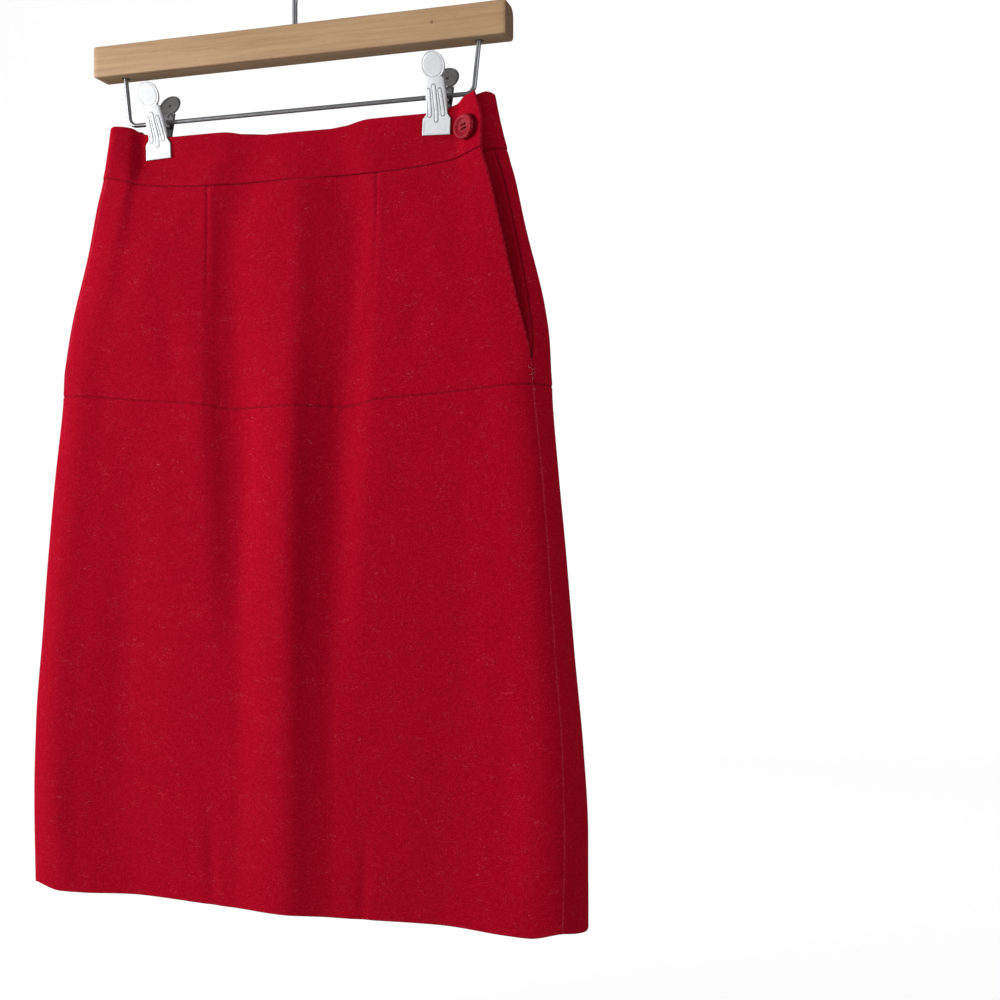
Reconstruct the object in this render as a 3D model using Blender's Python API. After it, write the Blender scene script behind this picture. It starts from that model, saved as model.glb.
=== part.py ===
"""A-line midi skirt hanging by its waistband from a wooden clip hanger.

Units in the tables are millimetres; MM turns them into Blender's metres. +Z is up, the skirt's front faces -Y,
and +X is the wearer's left, where the waistband buttons over a placket. The origin is the inside top of the
hanger's hook, the point by which the whole thing is held.

The skirt is one strip of cloth that is wound round: it starts at the end of the underlap on the wearer's left,
runs round the back, the wearer's right side and the front, and ends at the free front edge over the underlap.
STATIONS names the points along that strip, and SECTIONS gives their places at a few heights.
"""

import math
from collections import namedtuple

import bmesh
import bpy
import numpy as np
from mathutils import Matrix, Vector

MM = 0.001

# Cloth
CLOTH = 1.5  # thickness of the skirt's wool cloth
BAND_PROUD = 0.7  # the waistband's face stands this far in front of the yoke's
BAND_THICKNESS = 3.0
SEAM_GAP = 0.3  # between two pieces at a seam
SLIT_FOOT = -352.0  # nominal height where the placket's two edges meet
SLIT_OPEN = -336.0  # from here up, the front edge hangs free of the back one
UNDERLAY_FOOT = -338.0
TOP, WAIST, YOKE, HEM = -150.0, -192.0, -368.0, -775.0  # nominal heights of the band's top and of the seams

# Hanger
BAR_HALF_LENGTH, BAR_TOP, BAR_BOTTOM, BAR_HALF_DEPTH = 180.5, -70.5, -96.5, 11.0
HOOK_RADIUS, HOOK_INSIDE, HOOK_TIP_ANGLE = 2.1, 18.0, 197.0
HOOK_IN_BAR = 14.0
WIRE_RADIUS, WIRE_Z = 1.8, -136.6
WIRE_HALF_TOP, WIRE_HALF_LOW, WIRE_BEND = 155.8, 151.4, 7.0
WIRE_IN_BAR = 9.0
BORE_CLEARANCE = 0.6
CLIP_X, CLIP_ROLL = 123.3, 2.2  # the clip's place on the wire and its lean in degrees
CLIP_PLATE = 1.0  # thickness of its sheet steel
CLIP_EAR_HOLE, CLIP_SPRING = 2.3, (3.4, 4.3)  # hole radius; outer radius and half length of the coil

# Button
BUTTON_RADIUS, BUTTON_THICKNESS, BUTTON_STANDOFF = 10.0, 3.4, 1.2
BUTTON_STATION, BUTTON_HEIGHT = 27.12, -173.6
BUTTON_HOLE_RADIUS, BUTTON_HOLE_RING = 1.0, 2.3

# (x, y) of each named point on the cloth's outer face, at a nominal height. back_centre and centre hold y alone.
Section = namedtuple(
    "Section",
    "height lap_end lap_mid back_edge out roll back_flare back_turn back_mid back_ridge back_centre"
    " right_edge centre hollow ridge mid turn flare edge",
)
# fmt: off
SECTIONS = [
    # height  lap_end         lap_mid        back_edge      out            roll         back_flare
    #         back_turn     back_mid      back_ridge  back_centre   right_edge
    #         centre  hollow        ridge         mid           turn          flare          edge
    Section(-150, (142.8, -0.6), (157, -9.6), (164.3, -8.8), (167.8, -0.5), (159, 8.6), (145, 6.2),
            (137.5, 2.5), (110, 2.5), (66, 7.0), 8.5, (160, -10.0),
            1.0, (34, 1.6), (66, -0.6), (110, -2.5), (137.5, -2.5), (146, -7.2), (156, -13.6)),
    Section(-173, (142.6, -0.8), (158, -9.0), (166.4, -7.2), (172.6, 0.8), (163.5, 10.4), (147, 7.6),
            (137.5, 2.5), (110, 2.5), (67, 8.5), 10.0, (163, -10.5),
            -2.5, (38, -1.0), (69, -3.4), (110, -2.5), (137.5, -2.5), (147, -7.8), (162.4, -14.4)),
    Section(-192, (141.0, -1.5), (156.5, -5.6), (169.4, -4.8), (177.2, 2.5), (168, 12.6), (152, 11.4),
            (138.5, 8.0), (112, 7.0), (70, 11.0), 12.5, (167, -10.0),
            -7.5, (44, -4.5), (74, -8.0), (112, -7.0), (138.5, -7.4), (149.5, -10.2), (161.8, -13.6)),
    Section(-212, (144.0, -2.4), (160.5, -5.4), (176.0, -5.2), (183.4, 3.0), (174, 13.8), (157.5, 13.2),
            (141, 10.8), (114, 9.6), (72, 13.0), 13.8, (172.6, -10.6),
            -9.4, (48, -5.4), (76, -9.0), (114, -9.0), (141, -9.6), (154.0, -11.8), (167.6, -14.2)),
    Section(-250, (152.0, -3.6), (169.0, -5.2), (185.4, -6.0), (192.0, 3.5), (182, 15.0), (166, 15.2),
            (146, 14.0), (116, 13.0), (74, 16.0), 15.5, (181, -11.5),
            -12.0, (52, -6.8), (77, -10.8), (116, -12.0), (146, -12.8), (162, -14.4), (177.3, -15.6)),
    Section(-310, (166.0, -7.6), (182.5, -9.6), (198.6, -11.2), (207.3, 4.0), (196, 18.6), (178, 19.4),
            (156, 18.5), (120, 17.0), (76, 20.0), 18.5, (196, -14.6),
            -16.5, (52, -8.8), (78, -13.8), (120, -15.2), (156, -16.4), (177, -17.8), (192.3, -17.4)),
    Section(-336, (170.0, -9.6), (186.5, -12.0), (202.3, -14.4), (210.8, 4.4), (200, 20.6), (182, 21.4),
            (160, 20.5), (122, 18.6), (76, 21.5), 20.0, (200.4, -16.4),
            -18.6, (50, -9.8), (78, -15.0), (122, -16.2), (160, -17.6), (183, -19.2), (199.6, -18.2)),
    Section(-352, (172.0, -10.6), (188.0, -13.0), (202.8, -17.2), (211.4, 4.6), (201, 22.0), (183, 22.6),
            (162, 21.6), (123, 19.8), (75, 22.4), 21.0, (202.8, -17.2),
            -20.0, (49, -10.4), (78, -15.8), (123, -16.6), (162, -18.2), (185, -20.2), (202.8, -17.2)),
    Section(-368, (174.0, -11.2), (189.0, -13.6), (203.7, -17.2), (211.8, 5.0), (202, 23.0), (184, 23.6),
            (163, 22.6), (124, 20.6), (74, 23.4), 21.6, (203.7, -17.2),
            -21.2, (48, -11.2), (77, -16.4), (124, -17.0), (163, -18.6), (186, -20.8), (203.7, -17.2)),
    Section(-434, (174.0, -11.2), (189.0, -13.6), (211.0, -19.0), (216.8, 6.0), (207, 25.6), (190, 26.6),
            (167, 25.6), (126, 22.6), (72, 26.0), 23.4, (211.0, -19.0),
            -24.4, (45, -13.4), (74, -18.2), (126, -18.4), (167, -20.4), (192, -22.8), (211.0, -19.0)),
    Section(-500, (174.0, -11.2), (189.0, -13.6), (216.7, -20.5), (223.0, 7.0), (213, 28.0), (196, 29.4),
            (172, 28.0), (130, 24.4), (70, 28.0), 24.6, (216.7, -20.5),
            -26.4, (44, -15.8), (71, -19.4), (130, -19.0), (172, -21.6), (197, -24.2), (216.7, -20.5)),
    Section(-570, (174.0, -11.2), (189.0, -13.6), (221.8, -21.5), (228.8, 8.6), (219, 30.6), (201, 32.0),
            (177, 30.2), (133, 25.8), (68, 30.0), 25.8, (221.8, -21.5),
            -27.6, (44, -18.2), (69, -19.6), (133, -18.8), (177, -22.4), (202, -25.2), (221.8, -21.5)),
    Section(-640, (174.0, -11.2), (189.0, -13.6), (227.4, -22.5), (235.2, 10.0), (225, 32.6), (207, 34.4),
            (182, 32.2), (135, 27.0), (66, 31.6), 26.6, (227.4, -22.5),
            -28.2, (44, -19.6), (69, -19.6), (135, -18.6), (182, -23.0), (206, -26.2), (227.4, -22.5)),
    Section(-705, (174.0, -11.2), (189.0, -13.6), (229.1, -22.5), (238.6, 11.6), (228, 34.0), (210, 36.0),
            (185, 33.8), (136, 27.8), (65, 32.8), 27.0, (229.1, -22.5),
            -28.4, (44, -20.2), (69, -19.6), (136, -18.2), (185, -23.0), (207, -26.8), (229.1, -22.5)),
    Section(-775, (174.0, -11.2), (189.0, -13.6), (227.7, -22.0), (238.6, 12.0), (229, 34.4), (211, 37.0),
            (187, 34.6), (134, 28.2), (65, 33.6), 27.2, (227.7, -22.0),
            -28.6, (44, -21.0), (69, -20.2), (130, -18.0), (180, -23.2), (203, -25.2), (227.7, -22.0)),
]

# How far each named point lies above (+) the nominal height of a seam line or edge.
Rise = namedtuple("Rise", "height side out roll flare turn mid ridge hollow centre")
RISES = [
    Rise(TOP, 11.4, 11.4, 10.0, 9.6, 5.2, 0.8, 1.3, -3.2, -3.2),
    Rise(WAIST, 10.6, 10.6, 8.8, 7.2, 4.0, 0.8, -1.4, -1.2, -1.6),
    Rise(YOKE, 4.6, 4.6, 4.6, 4.2, 2.4, -0.8, -4.0, -8.8, -7.6),
    Rise(HEM, 4.4, -2.4, -2.2, -0.4, -0.6, 0.6, -0.6, -1.0, -0.4),
]
# fmt: on

# The stations along the strip, as (column of the section, +1 on the wearer's left or -1 on the right, rise column)
STATIONS = (
    [("lap_end", 1, "turn"), ("lap_mid", 1, "flare"), ("back_edge", 1, "side"), ("out", 1, "out"), ("roll", 1, "roll")]
    + [("back_flare", 1, "flare"), ("back_turn", 1, "turn"), ("back_mid", 1, "mid"), ("back_ridge", 1, "ridge")]
    + [("back_centre", 0, "centre"), ("back_ridge", -1, "ridge"), ("back_mid", -1, "mid"), ("back_turn", -1, "turn")]
    + [("back_flare", -1, "flare"), ("roll", -1, "roll"), ("out", -1, "out"), ("right_edge", -1, "side")]
    + [("flare", -1, "flare"), ("turn", -1, "turn"), ("mid", -1, "mid"), ("ridge", -1, "ridge"), ("hollow", -1, "hollow")]
    + [("centre", 0, "centre"), ("hollow", 1, "hollow"), ("ridge", 1, "ridge"), ("mid", 1, "mid"), ("turn", 1, "turn")]
    + [("flare", 1, "flare"), ("edge", 1, "side")]
)
NAMES = [(name, side) for name, side, _ in STATIONS]
LAP_END, BACK_EDGE, OUT = 0, 2, 3
RIGHT_SEAM = NAMES.index(("right_edge", -1))
FRONT_FLARE = NAMES.index(("flare", 1))
FRONT_EDGE = NAMES.index(("edge", 1))


def clear_scene():
    for old in list(bpy.data.objects):
        bpy.data.objects.remove(old)


# Smooth curves --------------------------------------------------------------------------------------------------


class Track:
    """A smooth curve through rows of values, which never swings past the value of a row."""

    def __init__(self, places, rows):
        self.places = np.asarray(places, float)
        self.rows = np.asarray(rows, float)
        step = np.diff(self.places)[:, None]
        pitch = np.diff(self.rows, axis=0) / step
        before, after = pitch[:-1], pitch[1:]
        same_way = before * after > 0
        safe = np.where(same_way, before * after, 1.0)
        total = np.where(same_way, before + after, 1.0)
        self.slopes = np.vstack([pitch[:1], np.where(same_way, 2 * safe / total, 0.0), pitch[-1:]])

    def __call__(self, where):
        where = np.atleast_1d(np.asarray(where, float))
        low = np.clip(np.searchsorted(self.places, where, side="right") - 1, 0, len(self.places) - 2)
        width = (self.places[low + 1] - self.places[low])[:, None]
        t = (where - self.places[low])[:, None] / width
        start, end = self.rows[low], self.rows[low + 1]
        leave, arrive = self.slopes[low] * width, self.slopes[low + 1] * width
        bend = (t**3 - 2 * t**2 + t) * leave + (t**3 - t**2) * arrive
        return start + (3 * t**2 - 2 * t**3) * (end - start) + bend


def ease(value, low, high):
    """0 at low, 1 at high, with a soft start and end."""
    t = min(1.0, max(0.0, (value - low) / (high - low)))
    return t * t * (3 - 2 * t)


# The skirt's surface ----------------------------------------------------------------------------------------------


def station_places(section):
    """x and y of every station of one section."""
    places = []
    for name, side, _ in STATIONS:
        place = getattr(section, name)
        places.append((side * place[0], place[1]) if side else (0.0, place))
    return places


PLAN = Track(
    [-section.height for section in SECTIONS],
    [np.ravel(station_places(section)) for section in SECTIONS],
)
LIFT = np.array([[getattr(rise, column) for _, _, column in STATIONS] for rise in RISES])


def strip_track(height):
    """The cloth's line round the body at a nominal height, as a Track over station numbers."""
    flat = PLAN(-height)[0].reshape(-1, 2)
    levels = [-rise.height for rise in RISES]
    lift = [np.interp(-height, levels, LIFT[:, n]) for n in range(len(STATIONS))]
    points = np.column_stack([flat, height + np.array(lift)])
    opened = ease(height, SLIT_FOOT, SLIT_OPEN)
    points[1] = points[FRONT_FLARE] + opened * (points[1] - points[FRONT_FLARE])
    straight_on = 2 * points[FRONT_EDGE] - points[FRONT_FLARE]
    beyond = points[OUT] + opened * (straight_on - points[OUT])
    before = 2 * points[0] - points[1]
    return Track(range(-1, len(points) + 1), np.vstack([before, points, beyond]))


def cloth_grid(stations, heights):
    """Points, outward normals and the two directions along the cloth, for each height and station."""
    small, step = 1e-3, 0.5
    stations = np.asarray(stations, float)
    points, normals, along, up = [], [], [], []
    for height in heights:
        here = strip_track(height)
        across = here(stations + small) - here(stations - small)
        rise = strip_track(height + step)(stations) - strip_track(height - step)(stations)
        across /= np.linalg.norm(across, axis=1)[:, None]
        rise /= np.linalg.norm(rise, axis=1)[:, None]
        outward = np.cross(across, rise)
        points.append(here(stations))
        normals.append(outward / np.linalg.norm(outward, axis=1)[:, None])
        along.append(across)
        up.append(rise)
    return np.array(points), np.array(normals), np.array(along), np.array(up)


def spread(first, last, per_gap):
    """Station numbers from first to last, per_gap to a station."""
    return np.linspace(first, last, round((last - first) * per_gap) + 1)


# Meshes -------------------------------------------------------------------------------------------------------------


def material(name, colour, roughness, metallic=0.0):
    made = bpy.data.materials.new(name)
    made.use_nodes = True
    shader = made.node_tree.nodes["Principled BSDF"]
    shader.inputs["Base Color"].default_value = (*colour, 1)
    shader.inputs["Roughness"].default_value = roughness
    shader.inputs["Metallic"].default_value = metallic
    return made


def add_object(name, mesh, finish, sharp_degrees=35):
    made = bpy.data.objects.new(name, mesh)
    bpy.context.scene.collection.objects.link(made)
    made.data.materials.append(finish)
    made.data.shade_smooth()
    made.data.set_sharp_from_angle(angle=math.radians(sharp_degrees))
    return made


def mesh_from(name, points, faces):
    """A mesh in metres from points in millimetres, its faces turned outwards."""
    shape = bmesh.new()
    corners = [shape.verts.new(Vector(point) * MM) for point in points]
    for face in faces:
        shape.faces.new([corners[n] for n in face])
    bmesh.ops.recalc_face_normals(shape, faces=shape.faces)
    mesh = bpy.data.meshes.new(name)
    shape.to_mesh(mesh)
    shape.free()
    return mesh


def wall_mesh(name, outer, inner):
    """A closed wall between two grids of points, rows by columns."""
    rows, columns = outer.shape[:2]
    points = np.concatenate([outer.reshape(-1, 3), inner.reshape(-1, 3)])
    back = rows * columns
    faces = []
    for row in range(rows - 1):
        for column in range(columns - 1):
            a = row * columns + column
            quad = (a, a + 1, a + columns + 1, a + columns)
            faces.append(quad)
            faces.append(tuple(back + n for n in reversed(quad)))
    last_row = (rows - 1) * columns
    rim = [(n, n + 1) for n in range(columns - 1)]
    rim += [(last_row + n + 1, last_row + n) for n in range(columns - 1)]
    rim += [((n + 1) * columns, n * columns) for n in range(rows - 1)]
    rim += [(n * columns + columns - 1, (n + 1) * columns + columns - 1) for n in range(rows - 1)]
    faces += [(b, a, back + a, back + b) for a, b in rim]
    return mesh_from(name, points, faces)


def cloth_piece(name, stations, heights, finish, proud=0.0, thickness=CLOTH):
    """A cut piece of the skirt: its edges stop half a seam gap short of the seam lines."""
    points, normals, along, up = cloth_grid(stations, heights)
    half = SEAM_GAP / 2
    points[:, 0] += half * along[:, 0]
    points[:, -1] -= half * along[:, -1]
    lowest, highest = (0, -1) if heights[0] < heights[-1] else (-1, 0)
    points[lowest] += half * up[lowest]
    points[highest] -= half * up[highest]
    outer = points + proud * normals
    inner = points + (proud - thickness) * normals
    return add_object(name, wall_mesh(name, outer, inner), finish)


def turned_mesh(name, profile, segments):
    """A solid turned about Z from (radius, height) pairs that run from the top centre to the bottom centre."""
    points, faces = [], []
    rings = [n for n, (radius, _) in enumerate(profile) if radius > 0]
    points.append((0, 0, profile[0][1]))
    for n in rings:
        radius, height = profile[n]
        for turn in range(segments):
            angle = 2 * math.pi * turn / segments
            points.append((radius * math.cos(angle), radius * math.sin(angle), height))
    points.append((0, 0, profile[-1][1]))
    last = len(points) - 1
    for turn in range(segments):
        onward = (turn + 1) % segments
        faces.append((0, 1 + turn, 1 + onward))
        for ring in range(len(rings) - 1):
            a, b = 1 + ring * segments, 1 + (ring + 1) * segments
            faces.append((a + turn, b + turn, b + onward, a + onward))
        foot = 1 + (len(rings) - 1) * segments
        faces.append((foot + turn, last, foot + onward))
    return mesh_from(name, points, faces)


def rod_mesh(name, path, radius, sides=10):
    """A round rod along a path that stays in the X-Z plane."""
    path = [Vector((x, 0, z)) for x, z in path]
    points, faces = [], []
    for n, place in enumerate(path):
        onward = (path[min(n + 1, len(path) - 1)] - path[max(n - 1, 0)]).normalized()
        side = Vector((0, 1, 0)).cross(onward)
        for turn in range(sides):
            angle = 2 * math.pi * turn / sides
            points.append(place + radius * (math.cos(angle) * side + math.sin(angle) * Vector((0, 1, 0))))
    for n in range(len(path) - 1):
        for turn in range(sides):
            onward = (turn + 1) % sides
            a, b = n * sides, (n + 1) * sides
            faces.append((a + turn, a + onward, b + onward, b + turn))
    faces.append(tuple(range(sides)))
    faces.append(tuple((len(path) - 1) * sides + turn for turn in reversed(range(sides))))
    return mesh_from(name, points, faces)


def cylinder_cutter(name, radius, length, place, axis="Z", sides=16):
    """A hidden cutter, centred at place (millimetres)."""
    shape = bmesh.new()
    bmesh.ops.create_cone(
        shape, cap_ends=True, segments=sides, radius1=radius * MM, radius2=radius * MM, depth=length * MM
    )
    mesh = bpy.data.meshes.new(name)
    turn = Matrix.Rotation(math.radians(90), 4, "Y") if axis == "X" else Matrix.Identity(4)
    shape.transform(Matrix.Translation(Vector(place) * MM) @ turn)
    shape.to_mesh(mesh)
    shape.free()
    cutter = bpy.data.objects.new(name, mesh)
    bpy.context.scene.collection.objects.link(cutter)
    return cutter


def combine(target, other, operation):
    """Adds a Boolean, and hides the object that it uses."""
    step = target.modifiers.new(other.name, "BOOLEAN")
    step.operation = operation
    step.object = other
    step.solver = "EXACT"
    other.hide_render = True
    other.display_type = "WIRE"


# The pieces of the skirt ----------------------------------------------------------------------------------------------


def make_skirt(wool):
    """The cut pieces, in the order in which they're sewn."""
    yoke_heights = [YOKE, -352, -336, -318, -298, -276, -252, -230, -210, WAIST]
    skirt_heights = [HEM, -742, -705, -668, -632, -598, -562, -528, -496, -464, -432, -400, YOKE]
    band_heights = [WAIST, -181, -173, -161, TOP]
    underlay_heights = [UNDERLAY_FOOT, -318, -298, -276, -252, -230, -210, WAIST]
    cloth_piece("front_skirt", spread(RIGHT_SEAM, FRONT_EDGE, 3), skirt_heights, wool)
    cloth_piece("back_skirt", spread(BACK_EDGE, RIGHT_SEAM, 2.5), skirt_heights, wool)
    cloth_piece("front_yoke", spread(RIGHT_SEAM, FRONT_EDGE, 3), yoke_heights, wool)
    cloth_piece("back_yoke", spread(BACK_EDGE, RIGHT_SEAM, 2.5), yoke_heights, wool)
    cloth_piece("placket_underlay", spread(LAP_END, BACK_EDGE, 3), underlay_heights, wool)
    cloth_piece(
        "waistband", spread(LAP_END, FRONT_EDGE, 3), band_heights, wool, proud=BAND_PROUD, thickness=BAND_THICKNESS
    )


def make_button(finish):
    """A four-hole button with a raised rim, standing on its thread in front of the waistband's end."""
    profile = [(0, 0.5), (5.4, 0.5), (6.6, 1.3), (8.2, 1.7), (9.5, 1.3), (BUTTON_RADIUS, 0.2), (9.2, -1.2)]
    profile += [(6.5, -1.7), (0, -1.7)]
    button = add_object("button", turned_mesh("button", profile, 24), finish)
    for quarter in range(4):
        angle = math.radians(45 + 90 * quarter)
        place = (BUTTON_HOLE_RING * math.cos(angle), BUTTON_HOLE_RING * math.sin(angle), 0)
        hole = cylinder_cutter(f"button_hole_cutter_{quarter}", BUTTON_HOLE_RADIUS, 8, place, sides=8)
        hole.parent = button
        combine(button, hole, "DIFFERENCE")
    points, normals, along, up = cloth_grid([BUTTON_STATION], [BUTTON_HEIGHT])
    outward, across = Vector(normals[0, 0]), Vector(along[0, 0])
    turn = Matrix((across, outward.cross(across), outward)).transposed().to_4x4()
    stand = BAND_PROUD + BUTTON_STANDOFF + BUTTON_THICKNESS / 2
    button.matrix_world = Matrix.Translation((Vector(points[0, 0]) + stand * outward) * MM) @ turn


# The hanger -----------------------------------------------------------------------------------------------------------


def corner_arc(centre, radius, start, steps):
    """A quarter circle of (y, z) points that starts at the given angle."""
    angles = [math.radians(start + 90 * n / steps) for n in range(steps + 1)]
    return [(centre[0] + radius * math.cos(a), centre[1] + radius * math.sin(a)) for a in angles]


def bar_outline(inset):
    """The bar's cross-section in (y, z): a plank whose back top edge is rounded off most."""
    half, top, low = BAR_HALF_DEPTH - inset, BAR_TOP - inset, BAR_BOTTOM + inset
    back_top, back_low, front_top, front_low = 7.0, 2.5, 2.2, 1.6
    outline = corner_arc((half - back_top, top - back_top), back_top, 0, 4)
    outline += corner_arc((front_top - half, top - front_top), front_top, 90, 2)
    outline += corner_arc((front_low - half, low + front_low), front_low, 180, 2)
    outline += corner_arc((half - back_low, low + back_low), back_low, 270, 2)
    return outline


def make_bar(wood):
    """A plain wooden bar with softened ends, bored for the hook above and the wire's two legs below."""
    end_rings = [(BAR_HALF_LENGTH, 1.8), (BAR_HALF_LENGTH - 0.6, 0.6), (BAR_HALF_LENGTH - 2.0, 0.0)]
    rings = [(-x, inset) for x, inset in end_rings] + [(x, inset) for x, inset in reversed(end_rings)]
    count = len(bar_outline(0))
    points = [(x, y, z) for x, inset in rings for y, z in bar_outline(inset)]
    faces = [tuple(range(count)), tuple((len(rings) - 1) * count + n for n in reversed(range(count)))]
    for ring in range(len(rings) - 1):
        for n in range(count):
            onward = (n + 1) % count
            a, b = ring * count, (ring + 1) * count
            faces.append((a + n, b + n, b + onward, a + onward))
    bar = add_object("hanger_bar", mesh_from("hanger_bar", points, faces), wood)
    bore_length = 2 * (HOOK_IN_BAR + 1)  # half of it lies above the wood
    bore = cylinder_cutter("hook_bore_cutter", HOOK_RADIUS + BORE_CLEARANCE, bore_length, (0, 0, BAR_TOP))
    combine(bar, bore, "DIFFERENCE")
    for side, word in ((-1, "right"), (1, "left")):
        place = (side * WIRE_HALF_TOP, 0, BAR_BOTTOM)
        bore = cylinder_cutter(
            f"wire_bore_cutter_{word}", WIRE_RADIUS + BORE_CLEARANCE, 2 * (WIRE_IN_BAR + 1), place, sides=12
        )
        combine(bar, bore, "DIFFERENCE")


def make_hook(steel):
    """A round-topped hook whose shank stands in the bar's bore."""
    middle = HOOK_INSIDE + HOOK_RADIUS
    start_angle, steps = -48.0, 20
    shank_foot, bend_start = BAR_TOP - HOOK_IN_BAR, -52.0
    start = (middle * math.cos(math.radians(start_angle)), -HOOK_INSIDE + middle * math.sin(math.radians(start_angle)))
    heading = (-math.sin(math.radians(start_angle)), math.cos(math.radians(start_angle)))
    path = [(0, shank_foot), (0, BAR_TOP), (0, -61.0)]
    reach = 11.0
    for n in range(7):  # a curve from the upright shank into the round of the hook
        t = n / 6
        a, b, c, d = (1 - t) ** 3, 3 * t * (1 - t) ** 2, 3 * t**2 * (1 - t), t**3
        x = c * (start[0] - reach * heading[0]) + d * start[0]
        z = a * bend_start + b * (bend_start + reach) + c * (start[1] - reach * heading[1]) + d * start[1]
        path.append((x, z))
    for n in range(1, steps + 1):
        angle = math.radians(start_angle + (HOOK_TIP_ANGLE - start_angle) * n / steps)
        path.append((middle * math.cos(angle), -HOOK_INSIDE + middle * math.sin(angle)))
    add_object("hanger_hook", rod_mesh("hanger_hook", path, HOOK_RADIUS), steel)


def wire_path():
    """One half of the wire frame, from the middle of the low bar to the leg's end inside the wooden bar."""
    leg_top = (WIRE_HALF_TOP, BAR_BOTTOM + WIRE_IN_BAR)
    lean = math.atan2(WIRE_HALF_TOP - WIRE_HALF_LOW, BAR_BOTTOM - WIRE_Z)
    turn_total = math.pi / 2 - lean
    tangent = WIRE_BEND * math.tan(turn_total / 2)
    centre = (WIRE_HALF_LOW - tangent, WIRE_Z + WIRE_BEND)
    path = [(0, WIRE_Z), (60, WIRE_Z), (100, WIRE_Z)]
    for n in range(7):
        angle = -math.pi / 2 + turn_total * n / 6
        path.append((centre[0] + WIRE_BEND * math.cos(angle), centre[1] + WIRE_BEND * math.sin(angle)))
    path += [(WIRE_HALF_TOP, BAR_BOTTOM), leg_top]
    return path


def make_wire(steel):
    """The wire frame under the bar, on which the clips slide."""
    half = wire_path()
    path = [(-x, z) for x, z in reversed(half[1:])] + half
    add_object("hanger_wire", rod_mesh("hanger_wire", path, WIRE_RADIUS), steel)


# One row across a clip plate. Heights are above the wire's middle; inner is how far the plate's inner face stands
# from the clip's middle plane, and flange is how far its sides are folded back towards that plane.
PlateRow = namedtuple("PlateRow", "height half_width inner flange")
PAD_CENTRE, PAD_RADIUS = 19.2, 9.7
PLATE_ROWS = [
    PlateRow(-30.8, 11.6, 3.5, 0.0),
    PlateRow(-18.4, 11.5, 3.5, 0.0),
    PlateRow(-14.4, 8.3, 3.5, 0.0),
    PlateRow(-12.8, 8.2, 3.5, 0.0),
    PlateRow(-8.0, 8.2, 5.3, 1.2),
    PlateRow(0.0, 8.0, 8.5, 2.2),
    PlateRow(10.4, 7.0, 12.4, 1.2),
]
PAD_LEAN = 0.46  # how fast the thumb pad leans away from the middle plane
Rib = namedtuple("Rib", "low_x low high_x high")  # the middles of a stamped rib's two round ends
RIBS = [Rib(-5.7, -15.6, -5.2, 1.8), Rib(-0.1, -19.6, -0.6, 4.6), Rib(5.3, -15.0, 4.1, 1.8)]


def plate_rows():
    """The rows of a clip plate, ending in the round thumb pad."""
    neck = PLATE_ROWS[-1]
    rows = list(PLATE_ROWS)
    for degrees in (-42, -25, -5, 15, 35, 52, 68, 82):
        angle = math.radians(degrees)
        height = PAD_CENTRE + PAD_RADIUS * math.sin(angle)
        inner = neck.inner + (height - neck.height) * PAD_LEAN
        rows.append(PlateRow(height, PAD_RADIUS * math.cos(angle), inner, 0.3))
    return rows


def plate_mesh(name):
    """A clip plate in the clip's own frame, facing -Y: a bent strip with a raised middle and folded sides."""
    outer, inner = [], []
    for row in plate_rows():
        crown = 0.0 if row.flange == 0 else 0.5
        folded = row.flange - row.inner
        for grid, depth in ((outer, CLIP_PLATE), (inner, 0.0)):
            side = row.half_width - (CLIP_PLATE - depth) * min(1.0, row.half_width / 3)
            face = -row.inner - depth
            line = [(-side, folded), (-side, face), (0, face - crown), (side, face), (side, folded)]
            grid.append([(x, y, row.height) for x, y in line])
    return wall_mesh(name, np.array(outer, float), np.array(inner, float))


def prism_mesh(name, start, end):
    """A solid between two outlines with the same number of points."""
    points = start + end
    count = len(start)
    faces = [tuple(range(count)), tuple(count + n for n in reversed(range(count)))]
    faces += [(n, (n + 1) % count, count + (n + 1) % count, count + n) for n in range(count)]
    return mesh_from(name, points, faces)


def ear_mesh(name, x):
    """A lug that reaches from the plate to the wire and round it."""
    lug_radius, half_thickness, steps = 3.9, 0.45, 8
    outline = [(-10.9, 4.0), (-7.6, -4.0)]
    for n in range(steps + 1):
        angle = math.radians(-100 + 200 * n / steps)
        outline.append((lug_radius * math.cos(angle), lug_radius * math.sin(angle)))
    start, end = ([(x + side * half_thickness, y, z) for y, z in outline] for side in (-1, 1))
    return prism_mesh(name, start, end)


def rib_mesh(name, rib):
    """A stamped rib: a long bar with round ends that stands proud of the plate's face."""
    half_width, proud, sunk, steps = 1.4, 0.7, 0.35, 4
    heights, inners = [row.height for row in PLATE_ROWS], [row.inner for row in PLATE_ROWS]
    lean = math.atan2(rib.low_x - rib.high_x, rib.high - rib.low)
    front, back = [], []
    for x, end, start in ((rib.high_x, rib.high, 0), (rib.low_x, rib.low, 180)):
        for n in range(steps + 1):
            angle = math.radians(start + 180 * n / steps) + lean
            across, height = x + half_width * math.cos(angle), end + half_width * math.sin(angle)
            face = -float(np.interp(height, heights, inners)) - CLIP_PLATE
            front.append((across, face - proud, height))
            back.append((across, face + sunk, height))
    return prism_mesh(name, front, back)


def sleeve_mesh(name, corners, segments):
    """A tube round the X axis from the (radius, x) corners of its wall."""
    points, faces = [], []
    for turn in range(segments):
        angle = 2 * math.pi * turn / segments
        points += [(x, radius * math.cos(angle), radius * math.sin(angle)) for radius, x in corners]
    count = len(corners)
    for turn in range(segments):
        a, b = turn * count, (turn + 1) % segments * count
        faces += [(a + n, a + (n + 1) % count, b + (n + 1) % count, b + n) for n in range(count)]
    return mesh_from(name, points, faces)


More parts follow.
